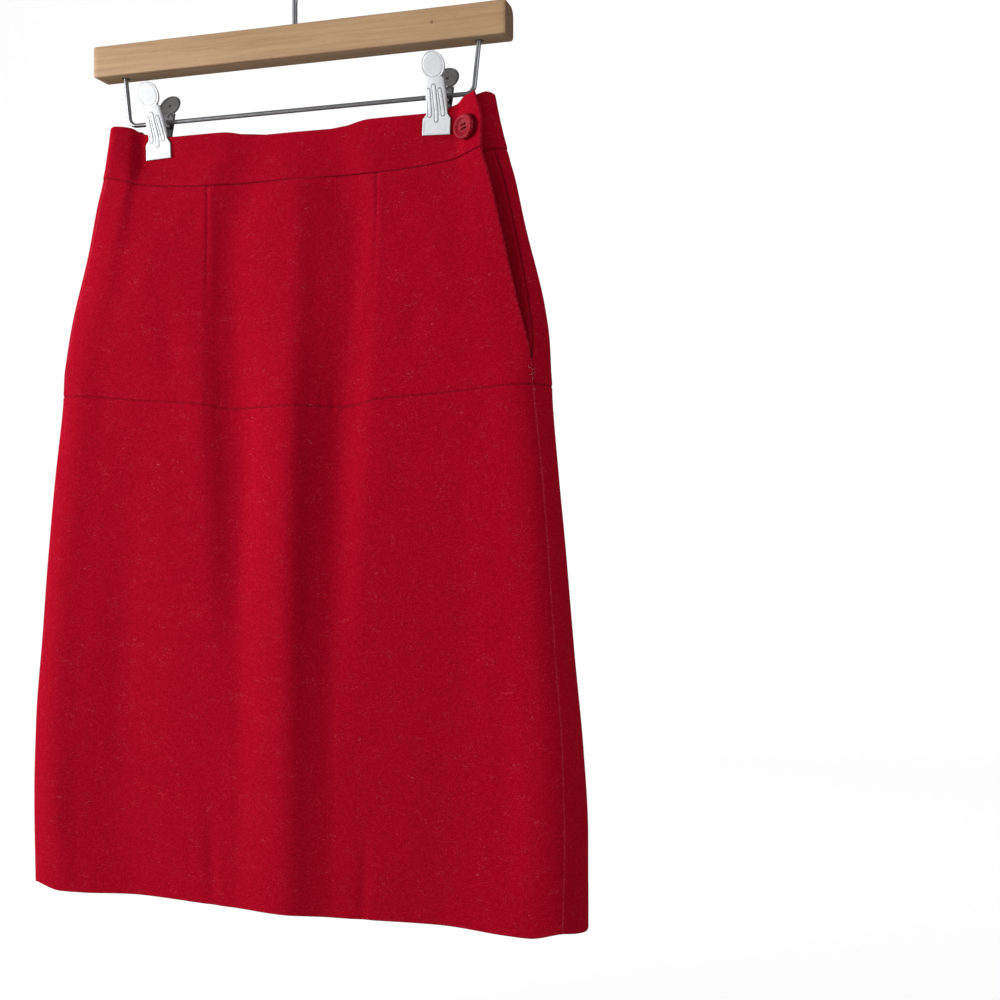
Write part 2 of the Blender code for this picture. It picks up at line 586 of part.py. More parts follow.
def make_clip(side, word, bright, dull, spring_steel):
    """Two plates that hinge on the wire and nip the waistband between them, and the spring's coil round the wire."""
    lean = Matrix.Rotation(math.radians(side * CLIP_ROLL), 4, "Y")
    place = Matrix.Translation(Vector((side * CLIP_X, 0, WIRE_Z)) * MM) @ lean
    half_turn = Matrix.Rotation(math.pi, 4, "Z")
    for plate, finish, turn, ear_x in (("front", bright, Matrix.Identity(4), 6.7), ("rear", dull, half_turn, 5.4)):
        name = f"clip_{plate}_{word}"
        body = add_object(name, plate_mesh(name), finish)
        body.matrix_world = place @ turn
        extras = [ear_mesh(f"{name}_ear_{n}", x) for n, x in enumerate((-ear_x, ear_x))]
        extras += [rib_mesh(f"{name}_rib_{n}", rib) for n, rib in enumerate(RIBS)]
        for mesh in extras:
            extra = bpy.data.objects.new(mesh.name, mesh)
            bpy.context.scene.collection.objects.link(extra)
            extra.matrix_world = body.matrix_world
            combine(body, extra, "UNION")
        bore = cylinder_cutter(f"{name}_bore_cutter", CLIP_EAR_HOLE, 18, (0, 0, 0), axis="X", sides=12)
        bore.matrix_world = body.matrix_world
        combine(body, bore, "DIFFERENCE")
    spring_radius, spring_half = CLIP_SPRING
    coil = [(CLIP_EAR_HOLE, spring_half), (spring_radius, spring_half)]
    coil += [(spring_radius, -spring_half), (CLIP_EAR_HOLE, -spring_half)]
    sleeve = add_object(f"clip_spring_{word}", sleeve_mesh(f"clip_spring_{word}", coil, 14), spring_steel)
    sleeve.matrix_world = place


def main():
    clear_scene()
    wool = material("red_wool", (0.36, 0.004, 0.014), 0.9)
    button_red = material("button_red", (0.30, 0.008, 0.02), 0.25)
    wood = material("pale_wood", (0.50, 0.30, 0.16), 0.5)
    steel = material("bright_steel", (0.62, 0.63, 0.65), 0.3, 1.0)
    plated = material("plated_steel", (0.80, 0.82, 0.83), 0.35, 1.0)
    dull = material("dull_steel", (0.30, 0.30, 0.31), 0.5, 1.0)
    make_skirt(wool)
    make_button(button_red)
    make_bar(wood)
    make_hook(steel)
    make_wire(steel)
    for side, word in ((-1, "right"), (1, "left")):
        make_clip(side, word, plated, dull, steel)


main()
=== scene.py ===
"""An A-line midi skirt of red wool on a wooden clip hanger, as it looks.

Sizes are in millimetres, and MM turns them into metres; only the stage and the cuts are in metres. +Z is
up, the skirt's front faces -Y, and +X is the wearer's left, where the waistband buttons over a placket. The
origin is the inside top of the hanger's hook.

The skirt is one strip of cloth that is wound round. It starts at the end of the underlap on the wearer's
left, runs round the back, the wearer's right side and the front, and ends at the free front edge over the
underlap.
STATIONS names the points along that strip, and SECTIONS gives their places at a few heights.
"""

import math
from collections import namedtuple

import bmesh
import bpy
import numpy as np
from mathutils import Matrix, Vector


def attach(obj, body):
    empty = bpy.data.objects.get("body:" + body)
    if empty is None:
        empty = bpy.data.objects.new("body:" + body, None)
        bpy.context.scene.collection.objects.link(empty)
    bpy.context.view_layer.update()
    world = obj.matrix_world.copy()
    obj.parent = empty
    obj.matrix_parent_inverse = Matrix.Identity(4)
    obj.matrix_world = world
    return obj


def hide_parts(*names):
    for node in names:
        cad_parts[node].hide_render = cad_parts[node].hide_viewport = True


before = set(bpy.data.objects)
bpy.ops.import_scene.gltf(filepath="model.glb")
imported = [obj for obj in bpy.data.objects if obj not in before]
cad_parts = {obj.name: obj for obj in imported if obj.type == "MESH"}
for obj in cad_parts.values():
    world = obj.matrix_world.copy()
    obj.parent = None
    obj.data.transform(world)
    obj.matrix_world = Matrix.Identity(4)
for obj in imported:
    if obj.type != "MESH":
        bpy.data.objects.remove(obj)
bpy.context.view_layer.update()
MM = 0.001

# Cloth
CLOTH = 1.5  # thickness of the wool
TURNED = 1.2  # what a turned-in edge or a pressed-open seam adds inside
BAND_PROUD, BAND_THICKNESS = 0.7, 3.0
SEAM_ALLOWANCE, HEM_DEPTH = 12.0, 38.0
SLIT_FOOT, SLIT_OPEN = -352.0, -336.0  # where the placket's two edges meet, and above which they hang apart
TOP, WAIST, YOKE, HEM = -150.0, -192.0, -368.0, -775.0

# Hanger
BAR_HALF_LENGTH, BAR_TOP, BAR_BOTTOM, BAR_HALF_DEPTH = 180.5, -70.5, -96.5, 11.0
HOOK_RADIUS, HOOK_INSIDE, HOOK_TIP_ANGLE, HOOK_IN_BAR = 2.1, 18.0, 197.0, 14.0
WIRE_RADIUS, WIRE_Z = 1.8, -136.6
WIRE_HALF_TOP, WIRE_HALF_LOW, WIRE_BEND, WIRE_IN_BAR = 155.8, 151.4, 7.0, 9.0
BACK_TOP_ARC, BACK_LOW_ARC, FRONT_TOP_ARC, FRONT_LOW_ARC = 7.0, 2.5, 2.2, 1.6  # of the long edges
# The eased ends of the bar, as (distance from the end, how far the outline is drawn in there)
BAR_END = [(0, 1.8), (0.12, 1.25), (0.35, 0.85), (0.75, 0.42), (1.3, 0.15), (2.0, 0.0)]
BAR_RING_PITCH, BAR_RINGS = 4.0, 43  # the outlines between an end and the middle
KNOT = (121.0, -11.0, -82.3)  # a small dark knot in the bar's front face
BORE_CLEARANCE = 0.6
CLIP_X, CLIP_ROLL, CLIP_PLATE, CLIP_HOLE = 123.3, 2.2, 1.0, 2.3
SPRING_TURNS, SPRING_RADIUS, SPRING_LENGTH, SPRING_WIRE = 7.5, 2.85, 7.4, 0.55
# An arm from the coil to the thumb pad: x in halves of the coil's length, y from the wire and z above it
SPRING_ARM = [(1, SPRING_RADIUS, -0.4), (1, 3.1, 1.2), (0.9, 6.4, 5.2), (0.72, 10.6, 9.6)]
SPRING_ARM += [(0.60, 12.2, 11.4), (0.35, 12.6, 11.9)]
SPRING_SIZES = {
    "Turns": SPRING_TURNS, "Coil radius": SPRING_RADIUS * MM,
    "Coil length": SPRING_LENGTH * MM, "Wire radius": SPRING_WIRE * MM,
}

# Button
BUTTON_THICKNESS, BUTTON_STANDOFF = 3.4, 1.2
BUTTON_STATION, BUTTON_HEIGHT = 27.12, -173.6
BUTTON_HOLE_RADIUS, BUTTON_HOLE_RING = 1.0, 2.3
BUTTON_PROFILE = [  # (radius, height) from the middle of the face to the middle of the back
    (0, 0.50), (2.6, 0.50), (4.9, 0.52), (5.6, 0.66), (6.2, 1.0), (6.8, 1.36), (7.5, 1.6), (8.2, 1.68),
    (8.8, 1.58), (9.3, 1.30), (9.7, 0.90), (9.92, 0.50), (10.0, 0.0), (9.9, -0.6), (9.5, -1.15), (8.8, -1.5),
    (7.8, -1.66), (6.0, -1.7), (0, -1.7),
]

# Sewing
STITCH_PITCH = 2.6
BUTTON_THREAD, SHANK_THREAD, SHANK_CORE = 0.21, 0.22, 1.2  # radii of the button's threads and of its shank
SHANK_RADIUS, SHANK_TURNS, SHANK_STEPS = 1.35, 6.5, 120  # the thread wound round the shank
# Each strand between two holes, as (its offset, how much higher its middle lies)
BUTTON_STRANDS = [(-0.34, 0.0), (0.02, 0.16), (0.36, 0.03)]

# (x, y) of each named point on the cloth's outer face, at a nominal height. back_centre and centre hold y
# alone.
Section = namedtuple(
    "Section",
    "height lap_end lap_mid back_edge out roll back_flare back_turn back_mid back_ridge back_centre"
    " right_edge centre hollow ridge mid turn flare edge",
)
# fmt: off
SECTIONS = [
    # height  lap_end         lap_mid        back_edge      out            roll         back_flare
    #         back_turn     back_mid      back_ridge  back_centre   right_edge
    #         centre  hollow        ridge         mid           turn          flare          edge
    Section(-150, (142.8, -0.6), (157, -9.6), (164.3, -8.8), (167.8, -0.5), (159, 8.6), (145, 6.2),
            (137.5, 2.5), (110, 2.5), (66, 7.0), 8.5, (160, -10.0),
            1.0, (34, 1.6), (66, -0.6), (110, -2.5), (137.5, -2.5), (146, -7.2), (156, -13.6)),
    Section(-173, (142.6, -0.8), (158, -9.0), (166.4, -7.2), (172.6, 0.8), (163.5, 10.4), (147, 7.6),
            (137.5, 2.5), (110, 2.5), (67, 8.5), 10.0, (163, -10.5),
            -2.5, (38, -1.0), (69, -3.4), (110, -2.5), (137.5, -2.5), (147, -7.8), (162.4, -14.4)),
    Section(-192, (141.0, -1.5), (156.5, -5.6), (169.4, -4.8), (177.2, 2.5), (168, 12.6), (152, 11.4),
            (138.5, 8.0), (112, 7.0), (70, 11.0), 12.5, (167, -10.0),
            -7.5, (44, -4.5), (74, -8.0), (112, -7.0), (138.5, -7.4), (149.5, -10.2), (161.8, -13.6)),
    Section(-212, (144.0, -2.4), (160.5, -5.4), (176.0, -5.2), (183.4, 3.0), (174, 13.8), (157.5, 13.2),
            (141, 10.8), (114, 9.6), (72, 13.0), 13.8, (172.6, -10.6),
            -9.4, (48, -5.4), (76, -9.0), (114, -9.0), (141, -9.6), (154.0, -11.8), (167.6, -14.2)),
    Section(-250, (152.0, -3.6), (169.0, -5.2), (185.4, -6.0), (192.0, 3.5), (182, 15.0), (166, 15.2),
            (146, 14.0), (116, 13.0), (74, 16.0), 15.5, (181, -11.5),
            -12.0, (52, -6.8), (77, -10.8), (116, -12.0), (146, -12.8), (162, -14.4), (177.3, -15.6)),
    Section(-310, (166.0, -7.6), (182.5, -9.6), (198.6, -11.2), (207.3, 4.0), (196, 18.6), (178, 19.4),
            (156, 18.5), (120, 17.0), (76, 20.0), 18.5, (196, -14.6),
            -16.5, (52, -8.8), (78, -13.8), (120, -15.2), (156, -16.4), (177, -17.8), (192.3, -17.4)),
    Section(-336, (170.0, -9.6), (186.5, -12.0), (202.3, -14.4), (210.8, 4.4), (200, 20.6), (182, 21.4),
            (160, 20.5), (122, 18.6), (76, 21.5), 20.0, (200.4, -16.4),
            -18.6, (50, -9.8), (78, -15.0), (122, -16.2), (160, -17.6), (183, -19.2), (199.6, -18.2)),
    Section(-352, (172.0, -10.6), (188.0, -13.0), (202.8, -17.2), (211.4, 4.6), (201, 22.0), (183, 22.6),
            (162, 21.6), (123, 19.8), (75, 22.4), 21.0, (202.8, -17.2),
            -20.0, (49, -10.4), (78, -15.8), (123, -16.6), (162, -18.2), (185, -20.2), (202.8, -17.2)),
    Section(-368, (174.0, -11.2), (189.0, -13.6), (203.7, -17.2), (211.8, 5.0), (202, 23.0), (184, 23.6),
            (163, 22.6), (124, 20.6), (74, 23.4), 21.6, (203.7, -17.2),
            -21.2, (48, -11.2), (77, -16.4), (124, -17.0), (163, -18.6), (186, -20.8), (203.7, -17.2)),
    Section(-434, (174.0, -11.2), (189.0, -13.6), (211.0, -19.0), (216.8, 6.0), (207, 25.6), (190, 26.6),
            (167, 25.6), (126, 22.6), (72, 26.0), 23.4, (211.0, -19.0),
            -24.4, (45, -13.4), (74, -18.2), (126, -18.4), (167, -20.4), (192, -22.8), (211.0, -19.0)),
    Section(-500, (174.0, -11.2), (189.0, -13.6), (216.7, -20.5), (223.0, 7.0), (213, 28.0), (196, 29.4),
            (172, 28.0), (130, 24.4), (70, 28.0), 24.6, (216.7, -20.5),
            -26.4, (44, -15.8), (71, -19.4), (130, -19.0), (172, -21.6), (197, -24.2), (216.7, -20.5)),
    Section(-570, (174.0, -11.2), (189.0, -13.6), (221.8, -21.5), (228.8, 8.6), (219, 30.6), (201, 32.0),
            (177, 30.2), (133, 25.8), (68, 30.0), 25.8, (221.8, -21.5),
            -27.6, (44, -18.2), (69, -19.6), (133, -18.8), (177, -22.4), (202, -25.2), (221.8, -21.5)),
    Section(-640, (174.0, -11.2), (189.0, -13.6), (227.4, -22.5), (235.2, 10.0), (225, 32.6), (207, 34.4),
            (182, 32.2), (135, 27.0), (66, 31.6), 26.6, (227.4, -22.5),
            -28.2, (44, -19.6), (69, -19.6), (135, -18.6), (182, -23.0), (206, -26.2), (227.4, -22.5)),
    Section(-705, (174.0, -11.2), (189.0, -13.6), (229.1, -22.5), (238.6, 11.6), (228, 34.0), (210, 36.0),
            (185, 33.8), (136, 27.8), (65, 32.8), 27.0, (229.1, -22.5),
            -28.4, (44, -20.2), (69, -19.6), (136, -18.2), (185, -23.0), (207, -26.8), (229.1, -22.5)),
    Section(-775, (174.0, -11.2), (189.0, -13.6), (227.7, -22.0), (238.6, 12.0), (229, 34.4), (211, 37.0),
            (187, 34.6), (134, 28.2), (65, 33.6), 27.2, (227.7, -22.0),
            -28.6, (44, -21.0), (69, -20.2), (130, -18.0), (180, -23.2), (203, -25.2), (227.7, -22.0)),
]

# How far each named point lies above (+) the nominal height of a seam line or edge.
Rise = namedtuple("Rise", "height side out roll flare turn mid ridge hollow centre")
RISES = [
    Rise(TOP, 11.4, 11.4, 10.0, 9.6, 5.2, 0.8, 1.3, -3.2, -3.2),
    Rise(WAIST, 10.6, 10.6, 8.8, 7.2, 4.0, 0.8, -1.4, -1.2, -1.6),
    Rise(YOKE, 4.6, 4.6, 4.6, 4.2, 2.4, -0.8, -4.0, -8.8, -7.6),
    Rise(HEM, 4.4, -2.4, -2.2, -0.4, -0.6, 0.6, -0.6, -1.0, -0.4),
]
# fmt: on

# The stations along the strip, as (column of the section, +1 on the wearer's left or -1 on the right)
BACK_HALF = ["out", "roll", "back_flare", "back_turn", "back_mid", "back_ridge"]
FRONT_HALF = ["flare", "turn", "mid", "ridge", "hollow"]
STATIONS = [(name, 1) for name in ("lap_end", "lap_mid", "back_edge", *BACK_HALF)]
STATIONS += [("back_centre", 0)] + [(name, -1) for name in reversed(BACK_HALF)]
STATIONS += [(name, -1) for name in ("right_edge", *FRONT_HALF)] + [("centre", 0)]
STATIONS += [(name, 1) for name in (*reversed(FRONT_HALF), "edge")]
# Stations that rise as another column says; each of the others has a column of its own name
RISES_AS = {"lap_end": "turn", "lap_mid": "flare", "back_edge": "side", "right_edge": "side", "edge": "side"}
LAP_END, BACK_EDGE, OUT = 0, 2, 3
RIGHT_SEAM = STATIONS.index(("right_edge", -1))
FRONT_FLARE = STATIONS.index(("flare", 1))
FRONT_EDGE = STATIONS.index(("edge", 1))

# Distances at which a cloth's grid has lines: from its edges, and from a dart, the hem's turning or the
# slit's foot
EDGE_MARKS = [0, 0.25, 0.6, 1.0, 1.5, 2.2, 3.2, 4.6, 6.4, 8.6, 10.8, 11.5, 12.1, 12.7, 13.8]
LINE_MARKS = [0, 0.35, 0.8, 1.4, 2.1, 2.8, 3.6, 4.5, 5.5, 6.6, 8.0]
CLOSEST_LINES = 0.22
FINE_STEPS = 1500  # how many steps measure a length along the strip
FRONT_PITCH, BACK_PITCH, LAP_PITCH, BAND_PITCH = 2.7, 3.0, 2.4, 2.2  # width of the grids' cells
SKIRT_ROW, YOKE_ROW, LAP_ROW, BAND_ROW = 3.0, 2.7, 2.7, 2.0  # and their height
LAP_LINE, BAND_LINE = -260.0, -171.0  # heights at which the width of the lap's and the band's cells holds
YOKE_IMPRINT = 0.28  # how far the yokes' pressed turnings show on the face

# A soft trough (depth above 0) or ridge (below 0) in the cloth's face. x and z are its middle, length and
# width are half sizes, and lean is how far its top leans to +X, in degrees.
Crease = namedtuple("Crease", "x z length width depth lean")
FRONT_CREASES = [
    Crease(9, -460, 600, 10, -1.7, 0),
    Crease(40, -400, 110, 9, 0.7, 0),
    Crease(82, -410, 90, 11, -0.5, 0),
    Crease(50, -600, 170, 9, -0.35, 0),
    Crease(61, -310, 62, 6, -0.7, 6),
    Crease(56, -222, 64, 26, 1.5, 0),
    Crease(209, -560, 250, 8, -0.8, -3.4),
    Crease(-209, -570, 240, 9, -0.6, 3.4),
    Crease(-60, -226, 58, 24, 0.9, 3),
    Crease(-36, -430, 130, 10, 0.8, 1),
    Crease(-78, -400, 100, 12, -0.6, -2),
    Crease(-47, -610, 150, 10, -0.4, 0),
    Crease(-58, -318, 54, 7, -0.6, -7),
    Crease(108, -312, 34, 10, 1.3, 14),
    Crease(38, -206, 16, 9, 0.9, 62),
    Crease(68, -752, 62, 6, 1.2, 2),
    Crease(150, -520, 210, 15, 0.7, -2),
    Crease(182, -640, 130, 9, 0.6, -3),
    Crease(104, -640, 150, 20, -0.6, 1),
    Crease(128, -262, 46, 12, -0.7, -12),
    Crease(94, -228, 30, 9, 0.5, -34),
    Crease(-104, -322, 44, 11, 1.1, -10),
    Crease(-36, -204, 18, 9, 0.8, -58),
    Crease(-64, -744, 74, 7, 1.1, -3),
    Crease(-146, -560, 230, 16, 0.8, 2),
    Crease(-98, -620, 170, 19, -0.6, -2),
    Crease(-130, -268, 52, 13, -0.7, 10),
    Crease(-92, -230, 32, 9, 0.5, 32),
]
BACK_CREASES = [
    Crease(30, -520, 230, 17, 0.9, 2),
    Crease(-38, -600, 190, 16, 0.9, -3),
    Crease(112, -640, 160, 14, 1.0, -4),
    Crease(-118, -560, 210, 15, 0.8, 3),
    Crease(88, -318, 44, 11, 1.0, 12),
    Crease(-92, -326, 50, 12, 1.1, -9),
    Crease(40, -208, 18, 9, 0.8, 60),
    Crease(-44, -206, 16, 9, 0.8, -56),
    Crease(72, -748, 70, 7, 1.1, 2),
    Crease(-80, -740, 80, 8, 1.0, -4),
    Crease(130, -264, 50, 13, -0.7, -10),
    Crease(-134, -270, 50, 13, -0.7, 12),
]

DART_FOOT = -306.0  # where the darts run out, from the waist seam
FRONT_DART, BACK_DART = (74.6, 73.2), (70.0, 76.0)  # the darts' distance from the middle, at top and foot
# A loose end of the placket's tack; lean is its angle above the horizontal, in degrees
TackEnd = namedtuple("TackEnd", "height lean length")
TACK_ENDS = [
    TackEnd(-356.5, 150, 3.4),
    TackEnd(-358.0, 28, 3.0),
    TackEnd(-360.5, -165, 2.4),
    TackEnd(-362.0, 50, 3.6),
    TackEnd(-365.5, 70, 2.6),
    TackEnd(-373.0, 25, 2.2),
]
UNDERLAY_REACH, UNDERLAY_DEEPER = -350.0, 2.6  # how low the underlay goes, and how far inside it lies there

# One row across a clip plate. Heights are above the wire's middle; inner is how far the plate's inner face
# stands from the clip's middle plane, and flange is how far its sides are folded back towards that plane.
PlateRow = namedtuple("PlateRow", "height half_width inner flange")
PAD_CENTRE, PAD_RADIUS, PAD_LEAN = 19.2, 9.7, 0.46
PAD_RING = 8.2  # radius of the line pressed into the thumb pad
PLATE_ROWS = [
    PlateRow(-30.8, 11.6, 3.5, 0.0),
    PlateRow(-18.4, 11.5, 3.5, 0.0),
    PlateRow(-14.4, 8.7, 3.5, 0.0),
    PlateRow(-12.8, 8.6, 3.5, 0.0),
    PlateRow(-8.0, 8.6, 5.3, 1.2),
    PlateRow(0.0, 8.4, 8.5, 2.2),
    PlateRow(10.4, 7.6, 12.4, 1.2),
]
JAW_TOP = -18.4
Rib = namedtuple("Rib", "low_x low high_x high")  # the middles of a stamped rib's two round ends
RIBS = [Rib(-5.7, -15.6, -5.2, 1.8), Rib(-0.1, -19.6, -0.6, 4.6), Rib(5.3, -15.0, 4.1, 1.8)]
RIB_HALF_WIDTH, RIB_PROUD, CROWN = 1.4, 0.12, 0.3
PAD_HOLE = (1.25, 1.05)  # half sizes of the square dimple in a rear plate's pad

# Stage, in metres, degrees and watts, with the lens in millimetres
FLOOR_Z = -0.90
CAMERA_PLACE, CAMERA_TURN, CAMERA_LENS = (0.4637, -0.9521, -0.450), 17.0, 46.8
FILL_STRENGTH = (0.36, 0.32)  # from the wearer's right and from the left
PAPER_GLOW = 0.85
Lamp = namedtuple("Lamp", "name azimuth elevation distance size power")
LAMPS = [
    Lamp("key", -62, 9, 1.9, 0.9, 51),
    Lamp("right_fill", 64, 8, 2.2, 1.2, 15),
]
LIT_HEIGHT = -0.45  # the height that every lamp points at

# What shows of each cut, without turnings: its widest and longest line along the outer face in metres, and
# that face's area in square metres
Cut = namedtuple("Cut", "node width length area rests_on")

# Angles past which an edge is shaded sharp, in degrees
CLOTH_SHARP_DEGREES, SOLID_SHARP_DEGREES = 60, 40


# Smooth curves ------------------------------------------------------------------------------------


class Track:
    """A smooth curve through rows of values, which never swings past the value of a row."""

    def __init__(self, places, rows):
        self.places = np.asarray(places, float)
        self.rows = np.asarray(rows, float)
        step = np.diff(self.places)[:, None]
        pitch = np.diff(self.rows, axis=0) / step
        before, after = pitch[:-1], pitch[1:]
        same_way = before * after > 0
        safe = np.where(same_way, before * after, 1.0)
        total = np.where(same_way, before + after, 1.0)
        self.slopes = np.vstack([pitch[:1], np.where(same_way, 2 * safe / total, 0.0), pitch[-1:]])

    def __call__(self, where):
        where = np.atleast_1d(np.asarray(where, float))
        low = np.clip(np.searchsorted(self.places, where, side="right") - 1, 0, len(self.places) - 2)
        width = (self.places[low + 1] - self.places[low])[:, None]
        t = (where - self.places[low])[:, None] / width
        start, end = self.rows[low], self.rows[low + 1]
        leave, arrive = self.slopes[low] * width, self.slopes[low + 1] * width
        bend = (t**3 - 2 * t**2 + t) * leave + (t**3 - t**2) * arrive
        return start + (3 * t**2 - 2 * t**3) * (end - start) + bend


def ease(value, low, high):
    """0 at low, 1 at high, with a soft start and end."""
    t = min(1.0, max(0.0, (value - low) / (high - low)))
    return t * t * (3 - 2 * t)


# The skirt's surface ------------------------------------------------------------------------------


def station_places(section):
    """x and y of every station of one section."""
    places = []
    for name, side in STATIONS:
        place = getattr(section, name)
        places.append((side * place[0], place[1]) if side else (0.0, place))
    return places


PLAN = Track(
    [-section.height for section in SECTIONS],
    [np.ravel(station_places(section)) for section in SECTIONS],
)


def rise_of(rise, name):
    """How far a station lies above the nominal height of a line."""
    return getattr(rise, RISES_AS.get(name, name.removeprefix("back_")))


LIFT = np.array([[rise_of(rise, name) for name, _ in STATIONS] for rise in RISES])


def strip_track(height):
    """The cloth's line round the body at a nominal height, as a Track over station numbers."""
    flat = PLAN(-height)[0].reshape(-1, 2)
    levels = [-rise.height for rise in RISES]
    lift = [np.interp(-height, levels, LIFT[:, n]) for n in range(len(STATIONS))]
    points = np.column_stack([flat, height + np.array(lift)])
    opened = ease(height, SLIT_FOOT, SLIT_OPEN)
    points[1] = points[FRONT_FLARE] + opened * (points[1] - points[FRONT_FLARE])
    straight_on = 2 * points[FRONT_EDGE] - points[FRONT_FLARE]
    beyond = points[OUT] + opened * (straight_on - points[OUT])
    before = 2 * points[0] - points[1]
    return Track(range(-1, len(points) + 1), np.vstack([before, points, beyond]))


def cloth_grid(stations, heights):
    """Points, outward normals and the two directions along the cloth, for each height and station."""
    small, step = 1e-3, 0.5
    stations = np.asarray(stations, float)
    points, normals, along, up = [], [], [], []
    for height in heights:
        here = strip_track(height)
        across = here(stations + small) - here(stations - small)
        rise = strip_track(height + step)(stations) - strip_track(height - step)(stations)
        across /= np.linalg.norm(across, axis=1)[:, None]
        rise /= np.linalg.norm(rise, axis=1)[:, None]
        outward = np.cross(across, rise)
        points.append(here(stations))
        normals.append(outward / np.linalg.norm(outward, axis=1)[:, None])
        along.append(across)
        up.append(rise)
    return np.array(points), np.array(normals), np.array(along), np.array(up)


# Making meshes ------------------------------------------------------------------------------------


def new_object(name, mesh):
    made = bpy.data.objects.new(name, mesh)
    bpy.context.scene.collection.objects.link(made)
    return made


def mesh_of(name, points, faces, finish, sharp_degrees=None):
    """A smooth-shaded mesh in metres from points in millimetres; faces already point outwards."""
    mesh = bpy.data.meshes.new(name)
    mesh.from_pydata((np.asarray(points, float) * MM).tolist(), [], [tuple(face) for face in faces])
    mesh.materials.append(finish)
    mesh.shade_smooth()
    if sharp_degrees:
        mesh.set_sharp_from_angle(angle=math.radians(sharp_degrees))
    return mesh


def turn_outwards(mesh):
    shape = bmesh.new()
    shape.from_mesh(mesh)
    bmesh.ops.recalc_face_normals(shape, faces=shape.faces)
    shape.to_mesh(mesh)
    shape.free()


def point_values(mesh, name, values):
    """Stores a number at each point, for a material to read."""
    mesh.attributes.new(name, "FLOAT", "POINT").data.foreach_set("value", np.ravel(values).astype(float))


def shell_faces(rows, columns):
    """The faces of a closed wall between two grids of points, the outer grid first."""
    row, column = (part.ravel() for part in np.indices((rows - 1, columns - 1)))
    corner = row * columns + column
    quads = np.column_stack([corner, corner + 1, corner + columns + 1, corner + columns])
    back = rows * columns
    low, high = quads[row == 0][:, [0, 1]], quads[row == rows - 2][:, [2, 3]]
    first, last = quads[column == 0][:, [3, 0]], quads[column == columns - 2][:, [1, 2]]
    walls = []
    for edge in (low, last, high, first):
        walls.append(np.column_stack([edge[:, 1], edge[:, 0], edge[:, 0] + back, edge[:, 1] + back]))
    return np.vstack([quads, quads[:, ::-1] + back, *walls])


def shell_object(name, outer, inner, finish, uv=None, values=None):
    """A closed wall, with its own flat map in metres and numbers for its material."""
    faces = shell_faces(*outer.shape[:2])
    points = np.concatenate([outer.reshape(-1, 3), inner.reshape(-1, 3)])
    mesh = mesh_of(name, points, faces, finish, CLOTH_SHARP_DEGREES)
    if uv is not None:
        flat = np.concatenate([uv.reshape(-1, 2), uv.reshape(-1, 2)]) * MM
        layer = mesh.uv_layers.new(name="cloth")
        layer.data.foreach_set("uv", flat[faces.ravel()].ravel())
    for label, numbers in (values or {}).items():
        point_values(mesh, label, np.concatenate([np.ravel(numbers), np.ravel(numbers)]))
    return new_object(name, mesh)


def frames_along(path):
    """Tangent, side and lift directions along a path, with the least twist."""
    path = np.asarray(path, float)
    tangents = np.gradient(path, axis=0)
    tangents /= np.linalg.norm(tangents, axis=1)[:, None]
    guess = np.array([0.0, 1.0, 0.0]) if abs(tangents[0][1]) < 0.9 else np.array([1.0, 0.0, 0.0])
    side = np.cross(tangents[0], guess)
    sides, lifts = [], []
    for tangent in tangents:
        side = side - np.dot(side, tangent) * tangent
        side /= np.linalg.norm(side)
        sides.append(side.copy())
        lifts.append(np.cross(tangent, side))
    return tangents, np.array(sides), np.array(lifts)


def tube(path, radius, sides=16, round_ends=True):
    """Points and faces of a round rod along a path; radius is one number or one for each point."""
    path = np.asarray(path, float)
    radii = np.broadcast_to(np.asarray(radius, float), (len(path),))
    tangents, across, lift = frames_along(path)
    rings = [(path[n], radii[n], n) for n in range(len(path))]
    if round_ends:
        ends = [(math.cos(math.radians(a)), math.sin(math.radians(a))) for a in (25, 50, 72)]
        head = [(path[0] - tangents[0] * radii[0] * s * 0.9, radii[0] * c, 0) for c, s in reversed(ends)]
        last = len(path) - 1
        tail = [(path[last] + tangents[last] * radii[last] * s * 0.9, radii[last] * c, last) for c, s in ends]
        rings = head + rings + tail
    angles = 2 * math.pi * np.arange(sides) / sides
    points = [
        centre + size * (np.cos(angles)[:, None] * across[n] + np.sin(angles)[:, None] * lift[n])
        for centre, size, n in rings
    ]
    faces = []
    for ring in range(len(rings) - 1):
        a, b = ring * sides, (ring + 1) * sides
        faces += [(a + t, a + (t + 1) % sides, b + (t + 1) % sides, b + t) for t in range(sides)]
    faces.append(tuple(reversed(range(sides))))
    faces.append(tuple((len(rings) - 1) * sides + t for t in range(sides)))
    return np.concatenate(points), faces


def joined(parts):
    """Several (points, faces) as one."""
    points, faces, start = [], [], 0
    for more_points, more_faces in parts:
        points.append(np.asarray(more_points, float))
        faces += [tuple(int(n) + start for n in face) for face in more_faces]
        start += len(more_points)
    return np.concatenate(points), faces


def solid_object(name, parts, finish, sharp_degrees=SOLID_SHARP_DEGREES):
    """One object from several closed shapes, its faces turned outwards."""
    points, faces = joined(parts)
    mesh = mesh_of(name, points, faces, finish)
    turn_outwards(mesh)
    mesh.set_sharp_from_angle(angle=math.radians(sharp_degrees))
    return new_object(name, mesh)


